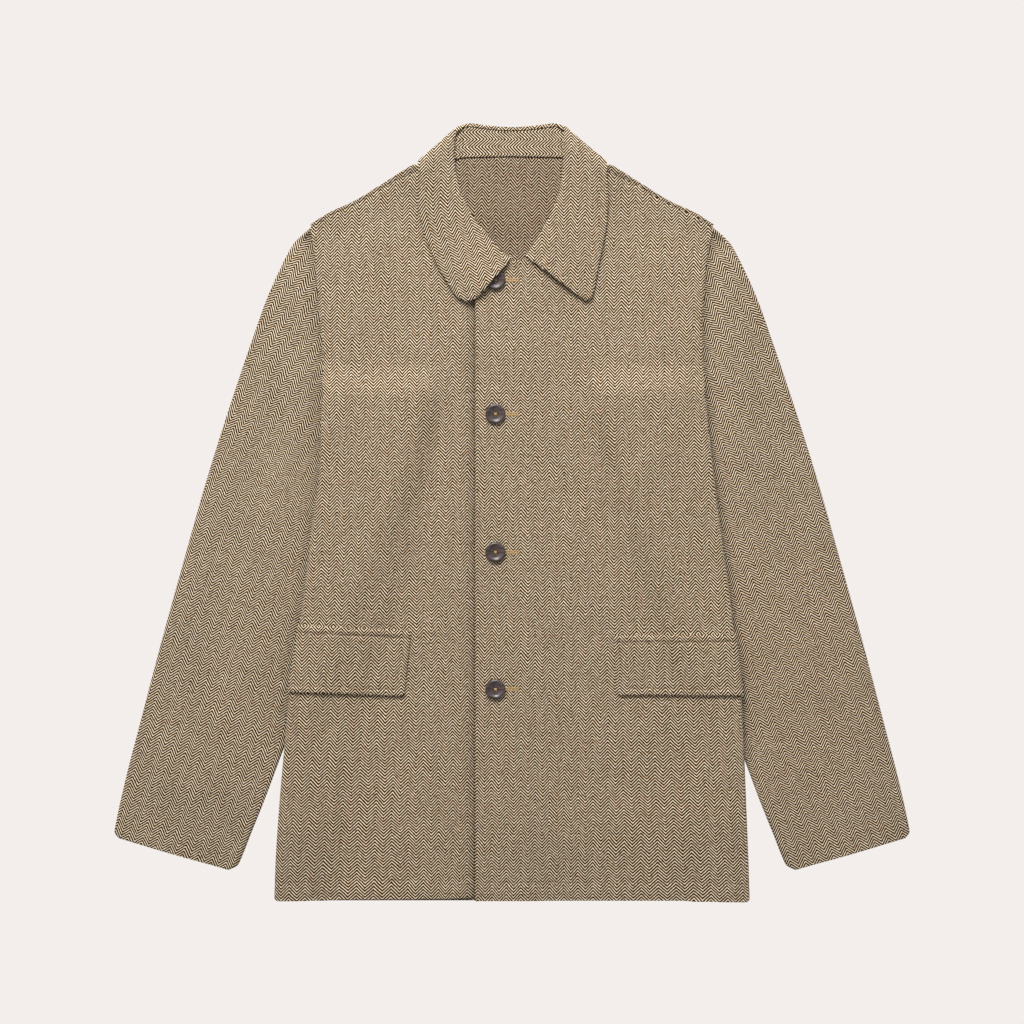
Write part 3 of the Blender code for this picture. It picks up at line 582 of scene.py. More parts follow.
for side, name in ((RIGHT, "sleeve_right"), (LEFT, "sleeve_left")):
    shares = np.linspace(0.0, 1.0, 80)
    sewn_y = np.interp(shares, (0.0, ARMHOLE_SHARE, 1.0), (285.5, ARMHOLE_FOOT, 101.0))
    sewn_x = np.where(shares <= ARMHOLE_SHARE, body_edge(sewn_y, side) - TUCK,
                      np.interp(shares, (ARMHOLE_SHARE, 1.0),
                                (float(body_edge(ARMHOLE_FOOT, side)) - TUCK, 101.0)))
    table = np.array(SLEEVE)
    lines = []
    for row in table:
        straight = row[0:2] + shares[:, None] * (row[2:4] - row[0:2])
        first = table[0, 0:2] + shares[:, None] * (table[0, 2:4] - table[0, 0:2])
        lines.append(straight + row[4] * (np.stack([sewn_x, sewn_y], -1) - first))
    at = grid_rows(table[:, :4], 3.4)
    rings, weaves = [], []
    for line in smooth(range(len(table)), np.array(lines), at):
        reach = np.concatenate(([0.0], np.cumsum(np.hypot(*np.diff(line, axis=0).T))))
        ends = []
        for end, following in ((0, 1), (-1, -2)):
            toward = line[following] - line[end]
            toward /= np.linalg.norm(toward)
            low, high = sleeve_heights(*(line[end] + FOLD * toward), side)
            half = (high - low) / 2.0
            turn = HALF_TURN[:, None] - math.pi / 2.0
            flat = line[end] + half * (1.0 - np.cos(turn)) * toward
            ends.append(np.concatenate([flat, (high + low) / 2.0 + half * np.sin(turn)], 1))
        inner = np.linspace(6.0, reach[-1] - 6.0, 44)
        across, height = np.interp(inner, reach, line[:, 0]), np.interp(inner, reach, line[:, 1])
        low, high = sleeve_heights(across, height, side)
        clear = across - body_edge(height, side)
        outside = ramp(clear, 6.0, 34.0)
        middle = np.sin(np.pi * inner / reach[-1]) ** 2
        high = high + outside * (SLEEVE_SWELL * middle
                                 + creased(SLEEVE_CREASES[side], side * across, height))
        depth, away, spread = DIP[side]
        sunk = depth * np.exp(-((clear - away) / spread) ** 2) * ramp(height, -270.0, -220.0)
        high = high - sunk * (1.0 + 0.5 * ramp(height, ARMHOLE_FOOT, ARMHOLE_FOOT + 30.0))
        low = low + outside * middle * creased(UNDERSLEEVE_CREASES[side], side * across, height)
        top = np.stack([across, height, high], -1)
        bottom = np.stack([across, height, low], -1)
        ring = np.concatenate([ends[0], top, ends[1][::-1], bottom[::-1], ends[0][:1]])
        ring[:, 0] *= side
        rings.append(ring)
        weaves.append(sleeve_threads(ring[:, 0], ring[:, 1], side))
    # Painted shadow: the sleeve's colour is darkened in a band just outside the body's edge,
    # fading out towards the cuff, standing in for the body's shadow on it.
    cloth_piece(f"{name}_cloth", name, mirrored([(np.array(rings), np.array(weaves))],
                                                side == RIGHT), body_wool,
                lambda x, y: 0.28 * ramp(y, -300.0, -250.0)
                * np.exp(-((side * x - body_edge(y, side) - 1.5) / 5.0) ** 2))

# The two fronts are cut like the back, with the wearer's left one lapped over the right.
# Their edges and hems are turned in, faced with the same cloth, and stitched.
FRONT_EDGE = {LEFT: -37.0, RIGHT: -4.0}
EDGE_ROWS = (165.0, 215.0)
CUT_OFFSET = {LEFT: (4.1, 1.3), RIGHT: (0.0, 0.0)}    # the herringbone doesn't match at the lap
NECK_START = {LEFT: ((-34.0, 241.0), (-15.0, 247.5), (0.0, 251.0), (12.0, 252.5)),
              RIGHT: ((-4.0, 243.0), (8.0, 248.5))}
HEM_STITCH, TACK_STITCH, FACING_STITCH = -371.0, -382.0, 45.5
HEM_RISE = {LEFT: ((-40.0, 0.0), (240.0, 0.0)),
            RIGHT: ((-10.0, 5.0), (30.0, 3.8), (70.0, 2.0), (110.0, 1.4), (240.0, 1.0))}
# Sections along the collar, from the right point round the neck to the left point.
# columns: roll x, roll y, edge x, edge y, seam x, seam y, turn, lift mid, lift edge
COLLAR = (
    (0.0, 254.0, -34.0, 214.4, -8.0, 252.0, 180, 4.1, 0.5),
    (-6.5, 258.0, -44.5, 210.4, -15.0, 251.2, 180, 3.6, -0.9),
    (-12.0, 262.5, -54.0, 214.5, -22.0, 250.5, 180, 3.0, -2.0),
    (-22.0, 273.5, -65.0, 230.0, -38.0, 254.5, 180, 0.6, -2.4),
    (-34.0, 288.5, -75.0, 248.0, -54.0, 266.5, 180, -0.6, -2.4),
    (-44.0, 304.5, -83.5, 268.0, -66.0, 286.5, 180, -1.0, -2.4),
    (-51.5, 322.0, -90.0, 288.0, -74.0, 310.5, 180, -0.8, -2.2),
    (-56.0, 342.0, -93.5, 312.0, -76.0, 324.0, 180, 0.0, -1.2),
    (-57.5, 362.0, -93.0, 334.0, -73.0, 333.0, 180, 0.6, 0.4),
    (-55.5, 374.0, -91.0, 344.5, -75.0, 342.8, 135, 0.8, 1.2),
    (-52.5, 381.5, -88.0, 348.5, -74.5, 346.0, 90, 0.4, 0.4),
    (-48.0, 386.0, -84.0, 345.5, -62.0, 349.4, 45, 0.6, 0.8),
    (-42.0, 389.4, -66.0, 334.0, -50.0, 354.5, 0, 0.0, 0.0),
    (-22.0, 387.0, -34.0, 325.0, -26.0, 355.0, 0, 0.0, 0.0),
    (0.0, 385.5, 0.0, 322.0, 0.0, 355.5, 0, 0.0, 0.0),
    (22.0, 387.0, 34.0, 325.0, 26.0, 355.0, 0, 0.0, 0.0),
    (42.0, 389.4, 66.0, 334.0, 50.0, 354.5, 0, 0.0, 0.0),
    (48.0, 386.0, 84.0, 345.5, 62.0, 349.4, 45, 0.6, 0.8),
    (51.0, 381.5, 88.0, 348.5, 74.5, 346.0, 90, 0.4, 0.4),
    (51.0, 374.0, 92.0, 344.5, 75.0, 342.8, 135, 0.8, 1.2),
    (51.5, 362.0, 95.0, 336.0, 73.0, 333.0, 180, 0.6, 0.4),
    (50.5, 342.0, 95.5, 312.0, 76.0, 324.0, 180, 0.0, -1.2),
    (47.5, 322.0, 94.5, 290.0, 74.0, 310.5, 180, -0.8, -2.2),
    (41.5, 304.5, 91.5, 271.0, 65.0, 288.5, 180, -1.0, -2.4),
    (33.0, 287.5, 87.5, 252.0, 52.0, 270.0, 180, -0.6, -2.4),
    (24.0, 272.5, 84.5, 236.0, 38.0, 260.0, 180, -0.2, -2.4),
    (17.5, 261.5, 81.5, 220.5, 26.0, 255.0, 180, 0.0, -2.2),
    (15.2, 258.4, 78.0, 213.4, 21.0, 255.1, 180, 0.0, -2.1),
    (13.5, 256.0, 72.5, 212.0, 16.5, 255.2, 180, 0.0, -2.0))
SEAM_X, SEAM_Y, TURN = 4, 5, 6
LAP_GROOVE = FRONT_EDGE[LEFT] - 1.3
BELOW_NECK = (-240.0, -215.0)    # the lap begins to show below here, as -y
TOPSTITCH = 6.5           # from a finished edge to its stitching


def stitched(gap, row=TOPSTITCH, puff=0.35, groove=0.5):
    """Relief beside a finished edge: the layers inside puff it up, a stitch pulls it in."""
    return puff * np.exp(-((gap - row / 2.0) / (row / 3.0)) ** 2) \
        - groove * np.exp(-((gap - row) / 0.9) ** 2)


def lap_painted_shadow(x, y):
    """Painted shadow on both fronts: a dark line along the lap's edge, and softer shade beside
    it.
    """
    gap = x - FRONT_EDGE[LEFT]
    return ramp(-y, *BELOW_NECK) * (0.55 * np.exp(-((gap + 0.6) / 1.0) ** 2)
                         + 0.16 * np.exp(-((gap + 4.0) / 4.5) ** 2))


fronts = {}
for side, name in ((RIGHT, "front_right"), (LEFT, "front_left")):
    sections = COLLAR[2:-2] if side == RIGHT else COLLAR[-3:1:-1]
    seams = [(abs(row[SEAM_X]), row[SEAM_Y]) for row in sections
             if row[TURN] == 180 and row[SEAM_X] * side > 0]
    neck = [(FRONT_EDGE[side], height) for height in EDGE_ROWS] + list(NECK_START[side]) + seams
    front_columns = spaced(240.0, GRID, fine_start=True)
    plan, below_arm = panel(side, neck, FRONT_EDGE[side], front_columns, SEAM, GRID, 2)
    x, y = side * plan[:, :, 0], plan[:, :, 1]
    y = y + through(HEM_RISE[side], 1, side * x) * ramp(-y, -(HEM + 60.0), -HEM)
    # The lower front's points are drawn together at the lap, where it has a narrow groove.
    under_lap = (side == RIGHT) * ramp(-y, *BELOW_NECK)
    away = x - LAP_GROOVE
    x = x - 3.0 * np.tanh(away / 4.0) * np.exp(-(away / 20.0) ** 2) * under_lap
    away = x - LAP_GROOVE
    z = front_top(x, y, side)
    hem_gap = y - HEM - through(HEM_RISE[side], 1, side * x)
    z = z + stitched(hem_gap, HEM_STITCH - HEM)
    edge_gap, _ = nearest_on([(side * FRONT_EDGE[side], HEM), (side * FRONT_EDGE[side], 215.0)]
                             + [(side * px, py) for px, py in NECK_START[side]], x, y)
    z = z + 1.1 * np.exp(-(edge_gap / 4.5) ** 2) - 0.9 * np.exp(-(edge_gap / 0.9) ** 2)
    z = z - (1.6 * np.exp(-(away / 1.4) ** 2) + 0.4 * np.exp(-(away / 6.0) ** 2)) * under_lap
    if side == LEFT:
        low_edge = ramp(-y, 150.0, 205.0)
        z = z - 0.35 * np.exp(-((x - FACING_STITCH) / 1.0) ** 2) * low_edge
    seam_gap, _ = nearest_on([(side * body_edge(h, side), h) for h in range(112, 290, 8)], x, y)
    z = z - 0.7 * np.exp(-(seam_gap / 1.5) ** 2) * ramp(y, 108.0, 120.0)
    main = np.stack([x, y, z], axis=-1)
    edge = main[:below_arm, -1]
    cut_off = np.array(CUT_OFFSET[side])
    patches = [(main, grain(x, y) + cut_off),
               pleat(edge, grain(edge[:, 0], edge[:, 1]) + cut_off, side,
                     lambda x, y: front_top(x, y, side), -1)]
    fronts[side] = cloth_piece(f"{name}_cloth", name, mirrored(patches, side == RIGHT),
                               body_wool, lap_painted_shadow)

# The collar is two parts of the cloth. The stand rises from the neck seam inside, and
# the fall rolls over it, lies on the fronts and ends in two rounded points, stitched
# all round.
COLLAR_LEVEL = 2 * LAYER - AIR / 2
ROLL_TAB = 1.5
LEAF_TILT = math.radians(13.0)    # the right leaf's columns lean towards its point
STAND_CLEAR = 1.0
# columns: turn, lean away from the fall, gap below the roll
STAND_FIT = ((0, 0.0, 0.9), (45, 0.4, 15.0), (90, 1.0, 6.0), (135, 0.6, 7.0), (180, 0.0, 0.9))
sections = np.array(COLLAR)
at = grid_rows(sections[:, :4], 2.4)
fine = smooth(range(len(COLLAR)), sections, at)
roll = np.concatenate([fine[:, 0:2], np.zeros((len(fine), 1))], axis=1)
edge = np.concatenate([fine[:, 2:4], np.full((len(fine), 1), 0.0)], axis=1)
width = np.linalg.norm(roll - edge, axis=1)[:, None]
along = (roll - edge) / width
aside = np.stack([-along[:, 1], along[:, 0], 0.0 * along[:, 0]], -1)
aside *= np.where(fine[:, 0:1] > 0.0, -1.0, 1.0)
turn = np.radians(fine[:, TURN])[:, None]
out = aside * np.sin(turn) + np.array([0.0, 0.0, 1.0]) * -np.cos(turn)
edge[:, 2] = COLLAR_LEVEL
centre = edge + along * (width - FOLD) + out * (AIR / 2 + FOLD)
columns = [centre - along * ROLL_TAB - out * FOLD]
for angle in HALF_TURN - math.pi / 2.0:
    columns.append(centre + FOLD * (along * math.cos(angle) + out * math.sin(angle)))
finished = np.concatenate([roll[:1, :2], edge[:, :2], roll[-1:, :2]])
middle_lift, end_lift = fine[:, 7:8], fine[:, 8:9]
for share in spaced(52.0, 1.8, fine_end=True)[1:]:
    lift = (4 * middle_lift - end_lift) * share + (2 * end_lift - 4 * middle_lift) * share ** 2
    base = edge + along * (width - FOLD) * (1.0 - share)
    gap, _ = nearest_on(finished, base[:, 0], base[:, 1])
    relief = (stitched(gap)[:, None] + 0.4 + 0.8 * share) * np.sin(turn / 2.0) ** 2
    columns.append(base + out * (AIR / 2 + 2.0 * FOLD + lift + relief))
fall = np.stack(columns, axis=1)
tilt = LEAF_TILT * ramp(-fall[:, :, 1], -330.0, -270.0) * (fall[:, :, 0] < 0.0)
from_x, from_y = fall[:, :, 0] + 55.0, fall[:, :, 1] - 300.0
threads = np.stack([from_x * np.cos(tilt) + from_y * np.sin(tilt),
                    from_y * np.cos(tilt) - from_x * np.sin(tilt)], axis=-1)
collar_fall = cloth_piece("collar_fall_cloth", "collar_fall",
                          mirrored([(fall, threads)], True), body_wool)

seam = np.concatenate([fine[:, 4:6], np.full((len(fine), 1), COLLAR_LEVEL)], axis=1)
lean = through(STAND_FIT, 1, fine[:, TURN])[:, None]
below_roll = through(STAND_FIT, 2, fine[:, TURN])[:, None]
stand_top = edge + along * (width - FOLD - ROLL_TAB - below_roll)
seam = seam + (stand_top - seam) / np.linalg.norm(stand_top - seam, axis=1)[:, None] * 2 * SEAM
drop = np.minimum(0.0, fine[:, 8:9] + STAND_CLEAR)
shares = spaced(30.0, 1.8)
stand = np.stack([seam + share * (stand_top - seam)
                  + out * (AIR / 2 - lean + drop * (1.0 - share)) for share in shares], axis=1)
keep = slice(int(np.searchsorted(at, 2.0)), int(np.searchsorted(at, len(COLLAR) - 3.0)) + 1)
stand = stand[keep]
cloth_piece("collar_stand_cloth", "collar_stand",
            mirrored([(stand, stand[:, :, 1::-1])], True), body_wool)

# A flap covers each pocket. It is a double piece of cloth, turned, sewn across its top
# in two rows and stitched round its edges, and its outer end wraps the side fold.
# columns: side, inner x top, inner x bottom, top inner, bottom inner, top outer, bottom outer
FLAPS = (("flap_right", RIGHT, 101.0, 108.0, -118.5, -184.0, -112.5, -179.0),
         ("flap_left", LEFT, 101.0, 105.5, -123.0, -183.0, -121.0, -182.5))
FLAP_WRAP = math.radians(50.0)
FLAP_AIR = 0.8
FLAP_CORNER = 4.0         # radius of the flap's lower corner
flaps = {}
for name, side, top_x, bottom_x, top_in, bottom_in, top_out, bottom_out in FLAPS:
    proud = FLAP_AIR + CLOTH
    down = spaced(64.0, 2.0, True, True)
    shares = spaced(124.0, 2.6, True, False)
    fall_in = top_in + down * (bottom_in - top_in)
    round_off = np.clip(1.0 - (fall_in - bottom_in) / FLAP_CORNER, 0.0, 1.0)
    corner = FLAP_CORNER * (1.0 - np.sqrt(1.0 - round_off ** 2))
    inner_x = top_x + down * (bottom_x - top_x) + corner
    outer_y = top_out + down * (bottom_out - top_out)
    outer_x = body_edge(outer_y, side) - FOLD
    across = inner_x[:, None] + shares * (outer_x - inner_x)[:, None]
    height = fall_in[:, None] + shares * (outer_y - fall_in)[:, None]
    level = front_top(side * across, height, side)
    outline = [(outer_x[0], outer_y[0]), (inner_x[0], fall_in[0])] \
        + list(zip(inner_x, fall_in)) + [(outer_x[-1], outer_y[-1])]
    gap, _ = nearest_on(outline[2:], across, height)
    top_gap, _ = nearest_on(outline[:2], across, height)
    level = level + proud + stitched(gap, 6.0, 0.4, 0.6) + stitched(top_gap, 8.0, 0.5, 1.1)
    level = level - 1.3 * np.exp(-(top_gap / 1.2) ** 2)
    spots = np.stack([side * across, height, level], axis=-1)
    wrap = []
    for part in np.linspace(0.0, 1.0, 7)[1:]:
        angle = FLAP_WRAP * part
        wrap.append(np.stack([side * (outer_x + (FOLD + proud) * math.sin(angle)), outer_y,
                              level[:, -1] - (FOLD + proud) * (1.0 - math.cos(angle))], -1))
    spots = np.concatenate([spots, np.stack(wrap, axis=1)], axis=1)
    turned_over = grain(spots[:, :, 0], spots[:, :, 1]) * np.array([1.0, -1.0])
    flaps[side] = cloth_piece(f"{name}_cloth", name,
                              mirrored([(spots, turned_over)], side == LEFT), body_wool)

# The stitching is a matt wool-coloured polyester thread, about 0.5 mm thick. It sinks
# into the soft cloth, so it shows as small dashes along each groove.
THREAD_RADIUS = 0.28
STITCH_LENGTH, STITCH_GAP = 2.6, 1.0
thread = bpy.data.materials.new("matt_polyester_thread")
thread.use_nodes = True
fibre = add_node(thread.node_tree, "ShaderNodeTexNoise", {"Scale": 700.0, "Detail": 2.0})
tint = add_node(thread.node_tree, "ShaderNodeMix", {0: fibre.outputs["Fac"], 6: linear("#7c6448"),
                                                    7: linear("#a58a66")}, data_type="RGBA")
thread_shader = thread.node_tree.nodes["Principled BSDF"]
thread.node_tree.links.new(tint.outputs[2], thread_shader.inputs["Base Color"])
thread_shader.inputs["Roughness"].default_value = 0.8


def stitch_shape(start, end, radius, sides=6):
    """Points and faces of one stitch, a short length of thread with rounded ends."""
    axis = end - start
    length = np.linalg.norm(axis)
    axis = axis / length
    across = np.cross(axis, (0.0, 0.0, 1.0))
    across /= np.linalg.norm(across)
    up = np.cross(across, axis)
    points = [start]
    for place, size in ((0.12, 0.75), (0.5, 1.0), (0.88, 0.75)):
        for k in range(sides):
            angle = 2.0 * math.pi * k / sides
            points.append(start + axis * length * place + radius * size
                          * (across * math.cos(angle) + up * math.sin(angle)))
    points.append(end)
    faces = [(0, 1 + (k + 1) % sides, 1 + k) for k in range(sides)]
    for ring in range(2):
        a = 1 + ring * sides
        faces += [(a + k, a + (k + 1) % sides, a + sides + (k + 1) % sides, a + sides + k)
                  for k in range(sides)]
    last = 1 + 2 * sides
    faces += [(last + k, last + (k + 1) % sides, len(points) - 1) for k in range(sides)]
    return points, faces


def thread_piece(name, stitches, material, radius=THREAD_RADIUS):
    """One mesh of many stitches, each given by its two ends."""
    points, faces = [], []
    for start, end in stitches:
        spots, sides = stitch_shape(np.array(start), np.array(end), radius)
        faces += [tuple(i + len(points) for i in face) for face in sides]
        points += spots
    data = bpy.data.meshes.new(name)
    data.from_pydata([[c * MM for c in point] for point in points], [], faces)
    data.shade_smooth()
    data.materials.append(material)
    piece = bpy.data.objects.new(name, data)
    bpy.context.scene.collection.objects.link(piece)
    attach(piece, "root")
    return piece


def sewn_along(path, cloth, sink=0.02):
    """Stitches along a line of (x, y) points, laid on a piece of cloth from above."""
    tree = BVHTree.FromObject(cloth, bpy.context.evaluated_depsgraph_get())
    path = np.asarray(path, float)
    reach = np.concatenate(([0.0], np.cumsum(np.hypot(*np.diff(path, axis=0).T))))
    stitches = []
    for start in np.arange(0.5, reach[-1] - STITCH_LENGTH, STITCH_LENGTH + STITCH_GAP):
        ends = []
        for place in (start, start + STITCH_LENGTH):
            x, y = (float(np.interp(place, reach, path[:, i])) for i in (0, 1))
            hit = tree.ray_cast(Vector((x * MM, y * MM, 0.1)), Vector((0.0, 0.0, -1.0)))[0]
            if hit is not None:
                ends.append((x, y, hit.z / MM - sink))
        if len(ends) == 2:
            stitches.append(ends)
    return stitches


def moved_in(path, distance):
    """A line moved to its left by a distance, for stitching beside an edge."""
    path = np.asarray(path, float)
    run = np.gradient(path, axis=0)
    run /= np.hypot(run[:, 0], run[:, 1])[:, None]
    return path + distance * np.stack([-run[:, 1], run[:, 0]], axis=-1)


bpy.context.view_layer.update()
hem_rows = sewn_along([(FRONT_EDGE[LEFT] + 2.0, HEM_STITCH), (231.0, HEM_STITCH)], fronts[LEFT])
hem_rows += sewn_along([(-34.0, TACK_STITCH), (43.0, TACK_STITCH)], fronts[LEFT])
hem_rows += sewn_along([(FACING_STITCH, -206.0), (FACING_STITCH, -382.0)], fronts[LEFT])
hem_rows += sewn_along([(-12.0, 239.0), (1.0, 243.8), (12.0, 248.3)], fronts[LEFT])
hem_rows += sewn_along([(-231.0, HEM_STITCH + 1.0), (-39.0, HEM_STITCH + 3.0)], fronts[RIGHT])
thread_piece("hem_stitches", hem_rows, thread)
collar_rows = []
leaves = (slice(0, int(np.searchsorted(at, 8.0))),
          slice(int(np.searchsorted(at, len(COLLAR) - 9.0)), len(fine)))
for leaf in leaves:
    inset_line = moved_in(edge[leaf, :2], -TOPSTITCH)
    keep = nearest_on(finished, inset_line[:, 0], inset_line[:, 1])[0] > TOPSTITCH - 0.6
    collar_rows += sewn_along(inset_line[keep], collar_fall)
for first, last, way in ((roll[0], edge[0], -1.0), (roll[-1], edge[-1], 1.0)):
    run = (last - first)[:2] / np.linalg.norm((last - first)[:2])
    beside = np.array([-run[1], run[0]]) * TOPSTITCH * way
    start, end = first[:2] + run * 7.0 + beside, last[:2] - run * TOPSTITCH + beside
    collar_rows += sewn_along([start, end], collar_fall)
thread_piece("collar_stitches", collar_rows, thread)
flap_rows = []
for name, side, top_x, bottom_x, top_in, bottom_in, top_out, bottom_out in FLAPS:
    end_top = float(body_edge(top_out, side)) - 2.0
    end_bottom = float(body_edge(bottom_out, side)) - 2.0
    for path in (((top_x + 7.0, top_in - 8.0), (end_top, top_out - 8.0)),
                 ((top_x + 6.5, top_in - 9.0), (bottom_x + 6.0, bottom_in + 7.0)),
                 ((bottom_x + 7.0, bottom_in + 6.0), (end_bottom, bottom_out + 6.0))):
        flap_rows += sewn_along([(side * px, py) for px, py in path], flaps[side])
thread_piece("flap_stitches", flap_rows, thread)

# Four turned horn buttons close the fronts. Each is a dished disc with a raised rim and
# four holes, polished to a soft gloss, and sewn on with a cross of tan thread.
BUTTON_LINE = -16.5
BUTTON_HEIGHTS = (232.0, 98.0, -40.0, -177.0)
# columns: radius, height
BUTTON_PROFILE = ((0.0, 2.15), (3.2, 2.1), (5.2, 2.2), (6.4, 2.7), (7.3, 3.2), (8.2, 3.4),
                  (9.1, 3.15), (9.8, 2.5), (10.0, 1.8), (9.8, 1.1), (9.0, 0.5), (7.0, 0.05),
                  (0.0, 0.0))
HOLE_RADIUS, HOLE_SPACING = 0.95, 3.0
horn = bpy.data.materials.new("polished_horn")
horn.use_nodes = True
horn_tree = horn.node_tree
spot = add_node(horn_tree, "ShaderNodeTexCoord").outputs["Object"]
stretch = add_node(horn_tree, "ShaderNodeMapping", {0: spot, "Scale": (1.0, 3.5, 1.0),
                                                    "Rotation": (0.0, 0.0, 0.6)})
streak = add_node(horn_tree, "ShaderNodeTexNoise", {"Vector": stretch.outputs[0], "Detail": 4.0,
                                                    "Scale": 130.0}).outputs["Fac"]
horn_ramp = add_node(horn_tree, "ShaderNodeValToRGB", {"Fac": streak})
horn_ramp.color_ramp.elements[0].color = linear("#1d1718")
horn_ramp.color_ramp.elements[0].position = 0.32
horn_ramp.color_ramp.elements[1].color = linear("#5b4c4a")
horn_ramp.color_ramp.elements[1].position = 0.72
horn_shader = horn_tree.nodes["Principled BSDF"]
horn_tree.links.new(horn_ramp.outputs[0], horn_shader.inputs["Base Color"])
horn_gloss = add_node(horn_tree, "ShaderNodeMath", {0: streak, 1: 0.15, 2: 0.27},
                      operation="MULTIPLY_ADD").outputs[0]
horn_tree.links.new(horn_gloss, horn_shader.inputs["Roughness"])
horn_shader.inputs["IOR"].default_value = 1.54
tan_thread = thread.copy()
tan_thread.name = "tan_cotton_thread"
for socket, colour in ((6, "#a98452"), (7, "#d4b07c")):
    tan_thread.node_tree.nodes[tint.name].inputs[socket].default_value = linear(colour)


def turned_button(name):
    """Turn the half outline round, then drill the four holes."""
    profile = smooth(range(len(BUTTON_PROFILE)), BUTTON_PROFILE,
                     np.linspace(0.0, len(BUTTON_PROFILE) - 1.0, 37))
    turned = bmesh.new()
    ring = [turned.verts.new((r * MM, 0.0, z * MM)) for r, z in profile]
    edges = [turned.edges.new(pair) for pair in zip(ring, ring[1:])]
    bmesh.ops.spin(turned, geom=ring + edges, cent=(0, 0, 0), axis=(0, 0, 1),
                   angle=2.0 * math.pi, steps=56, use_duplicate=False)
    bmesh.ops.remove_doubles(turned, verts=turned.verts, dist=0.002 * MM)
    bmesh.ops.recalc_face_normals(turned, faces=turned.faces)
    data = bpy.data.meshes.new(name)
    turned.to_mesh(data)
    turned.free()
    blank = bpy.data.objects.new(name, data)
    bpy.context.scene.collection.objects.link(blank)
    drills = []
    for hole in range(4):
        angle = math.pi / 4.0 + hole * math.pi / 2.0
        reach = HOLE_SPACING / math.sqrt(2.0)
        drill_data = bpy.data.meshes.new("drill")
        shape = bmesh.new()
        bmesh.ops.create_cone(shape, cap_ends=True, segments=20, radius1=HOLE_RADIUS * MM,
                              radius2=HOLE_RADIUS * MM, depth=12.0 * MM)
        bmesh.ops.translate(shape, verts=shape.verts, vec=(reach * math.cos(angle) * MM,
                                                          reach * math.sin(angle) * MM, 0.0))
        shape.to_mesh(drill_data)
        shape.free()
        drill = bpy.data.objects.new("drill", drill_data)
        bpy.context.scene.collection.objects.link(drill)
        drills.append(drill)
        cut = blank.modifiers.new("hole", "BOOLEAN")
        cut.object = drill
    finished_mesh = bpy.data.meshes.new_from_object(
        blank.evaluated_get(bpy.context.evaluated_depsgraph_get()))
    blank.modifiers.clear()
    blank.data = finished_mesh
    for drill in drills:
        bpy.data.objects.remove(drill)
    finished_mesh.materials.clear()
    finished_mesh.materials.append(horn)
    finished_mesh.shade_smooth()
    return blank


sewn_on, hole_stitches = [], []
front_tree = BVHTree.FromObject(fronts[LEFT], bpy.context.evaluated_depsgraph_get())
for number, height in enumerate(BUTTON_HEIGHTS, start=1):
    button = turned_button(f"button_{number}_horn")
    level = float(front_top(np.array(BUTTON_LINE), np.array(height), LEFT)) + SEAM
    button.location = Vector((BUTTON_LINE, height, level)) * MM
    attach(button, "root")
    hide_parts(f"button_{number}")
    half = HOLE_SPACING / 2.0
    face = level + BUTTON_PROFILE[0][1]
    for shift in (-0.3, 0.3):
        for way in (1.0, -1.0):
            sewn_on.append(((BUTTON_LINE - half + shift, height - way * half, face - 0.3),
                            (BUTTON_LINE + half + shift, height + way * half, face + 0.35)))
    for reach in np.arange(-11.0, 23.5, 0.75):
        for way in (1.0, -1.0):
            x = BUTTON_LINE + reach
            ends = []
            for away in (0.15, 1.9):
                y = height + way * away
                hit = front_tree.ray_cast(Vector((x * MM, y * MM, 0.1)),
                                          Vector((0.0, 0.0, -1.0)))[0]
                ends.append((x, y, hit.z / MM + 0.05))
            hole_stitches.append(ends)
thread_piece("button_threads", sewn_on, tan_thread, 0.32)
thread_piece("buttonhole_stitches", hole_stitches, tan_thread, 0.36)

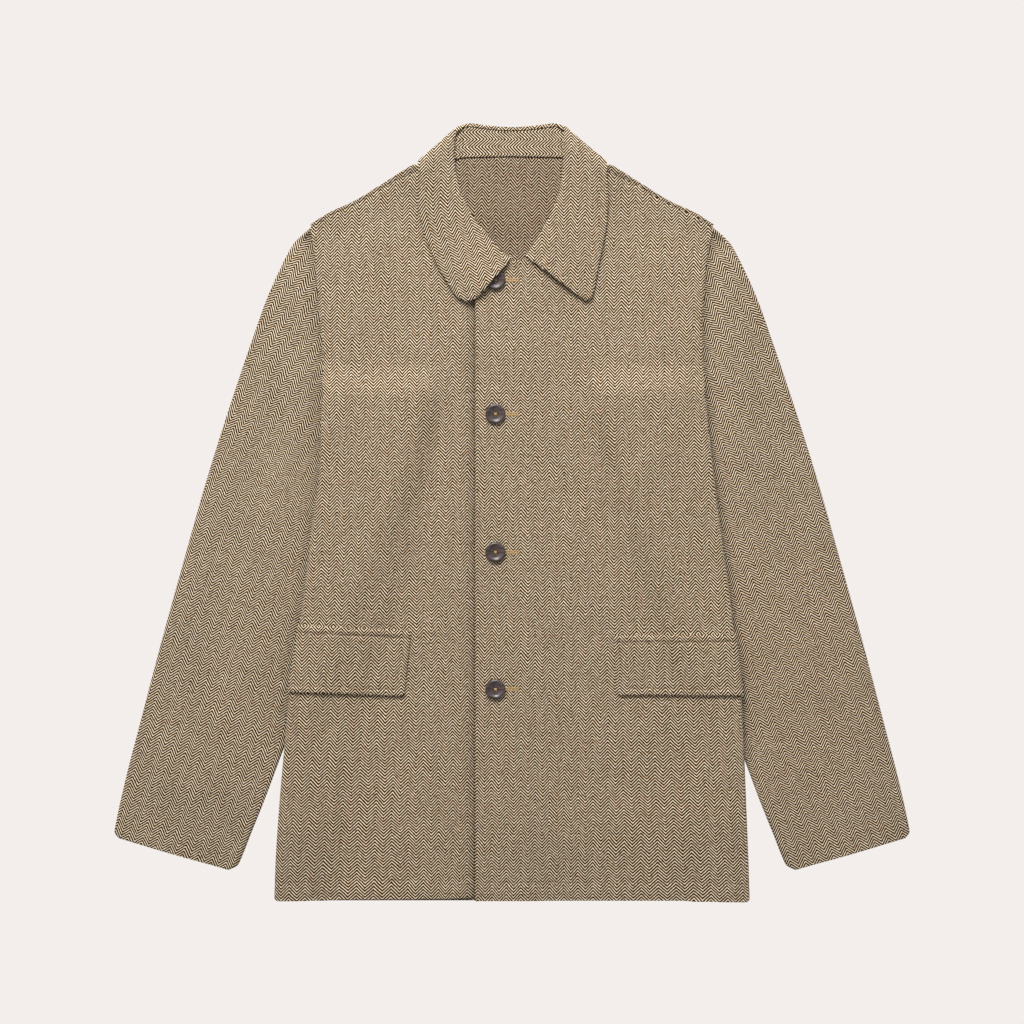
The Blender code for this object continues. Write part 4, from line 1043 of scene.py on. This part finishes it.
# The jacket lies on a plain pale sheet of paper, photographed from straight above under
# one large soft light beyond the collar, a little to the left, and even light all round.
FLOOR_HALF = 3.0
FLOOR = -0.0004           # just clear of the collar's turn, the lowest cloth
floor_data = bpy.data.meshes.new("floor")
floor_data.from_pydata([(x * FLOOR_HALF, y * FLOOR_HALF, FLOOR)
                        for x, y in ((-1, -1), (1, -1), (1, 1), (-1, 1))], [], [(0, 1, 2, 3)])
floor = bpy.data.objects.new("floor", floor_data)
bpy.context.scene.collection.objects.link(floor)
paper = bpy.data.materials.new("pale_paper")
paper.use_nodes = True
paper_shader = paper.node_tree.nodes["Principled BSDF"]
paper_shader.inputs["Base Color"].default_value = (0.0, 0.0, 0.0, 1.0)
paper_shader.inputs["Roughness"].default_value = 1.0
paper_shader.inputs["Specular IOR Level"].default_value = 0.0
paper_shader.inputs["Emission Color"].default_value = linear("#f3eeeb")
paper_shader.inputs["Emission Strength"].default_value = 1.0
floor_data.materials.append(paper)

world = bpy.data.worlds.new("studio")
bpy.context.scene.world = world
world.use_nodes = True
world.node_tree.nodes["Background"].inputs["Color"].default_value = (1.0, 0.99, 0.975, 1.0)
world.node_tree.nodes["Background"].inputs["Strength"].default_value = 0.42
lamp_data = bpy.data.lights.new("soft_box", "AREA")
lamp_data.shape = "RECTANGLE"
lamp_data.size, lamp_data.size_y = 1.5, 1.1
lamp_data.energy = 135.0
lamp = bpy.data.objects.new("soft_box", lamp_data)
bpy.context.scene.collection.objects.link(lamp)
lamp.location = (-0.45, 2.4, 2.0)
lamp.rotation_euler = (-lamp.location).to_track_quat("-Z", "Y").to_euler()

LENS, SENSOR, VIEW_WIDTH = 85.0, 36.0, 1.024
CLOTH_PLANE = 0.006       # typical height of the cloth, where a pixel is a millimetre
camera_data = bpy.data.cameras.new("camera")
camera_data.lens = LENS
camera_data.sensor_width = SENSOR
camera = bpy.data.objects.new("camera", camera_data)
camera.location = (0.0, 0.0, CLOTH_PLANE + VIEW_WIDTH * LENS / SENSOR)
bpy.context.scene.collection.objects.link(camera)
bpy.context.scene.camera = camera
bpy.context.scene.view_settings.view_transform = "Standard"
bpy.context.scene.view_settings.look = "None"

bpy.context.view_layer.update()
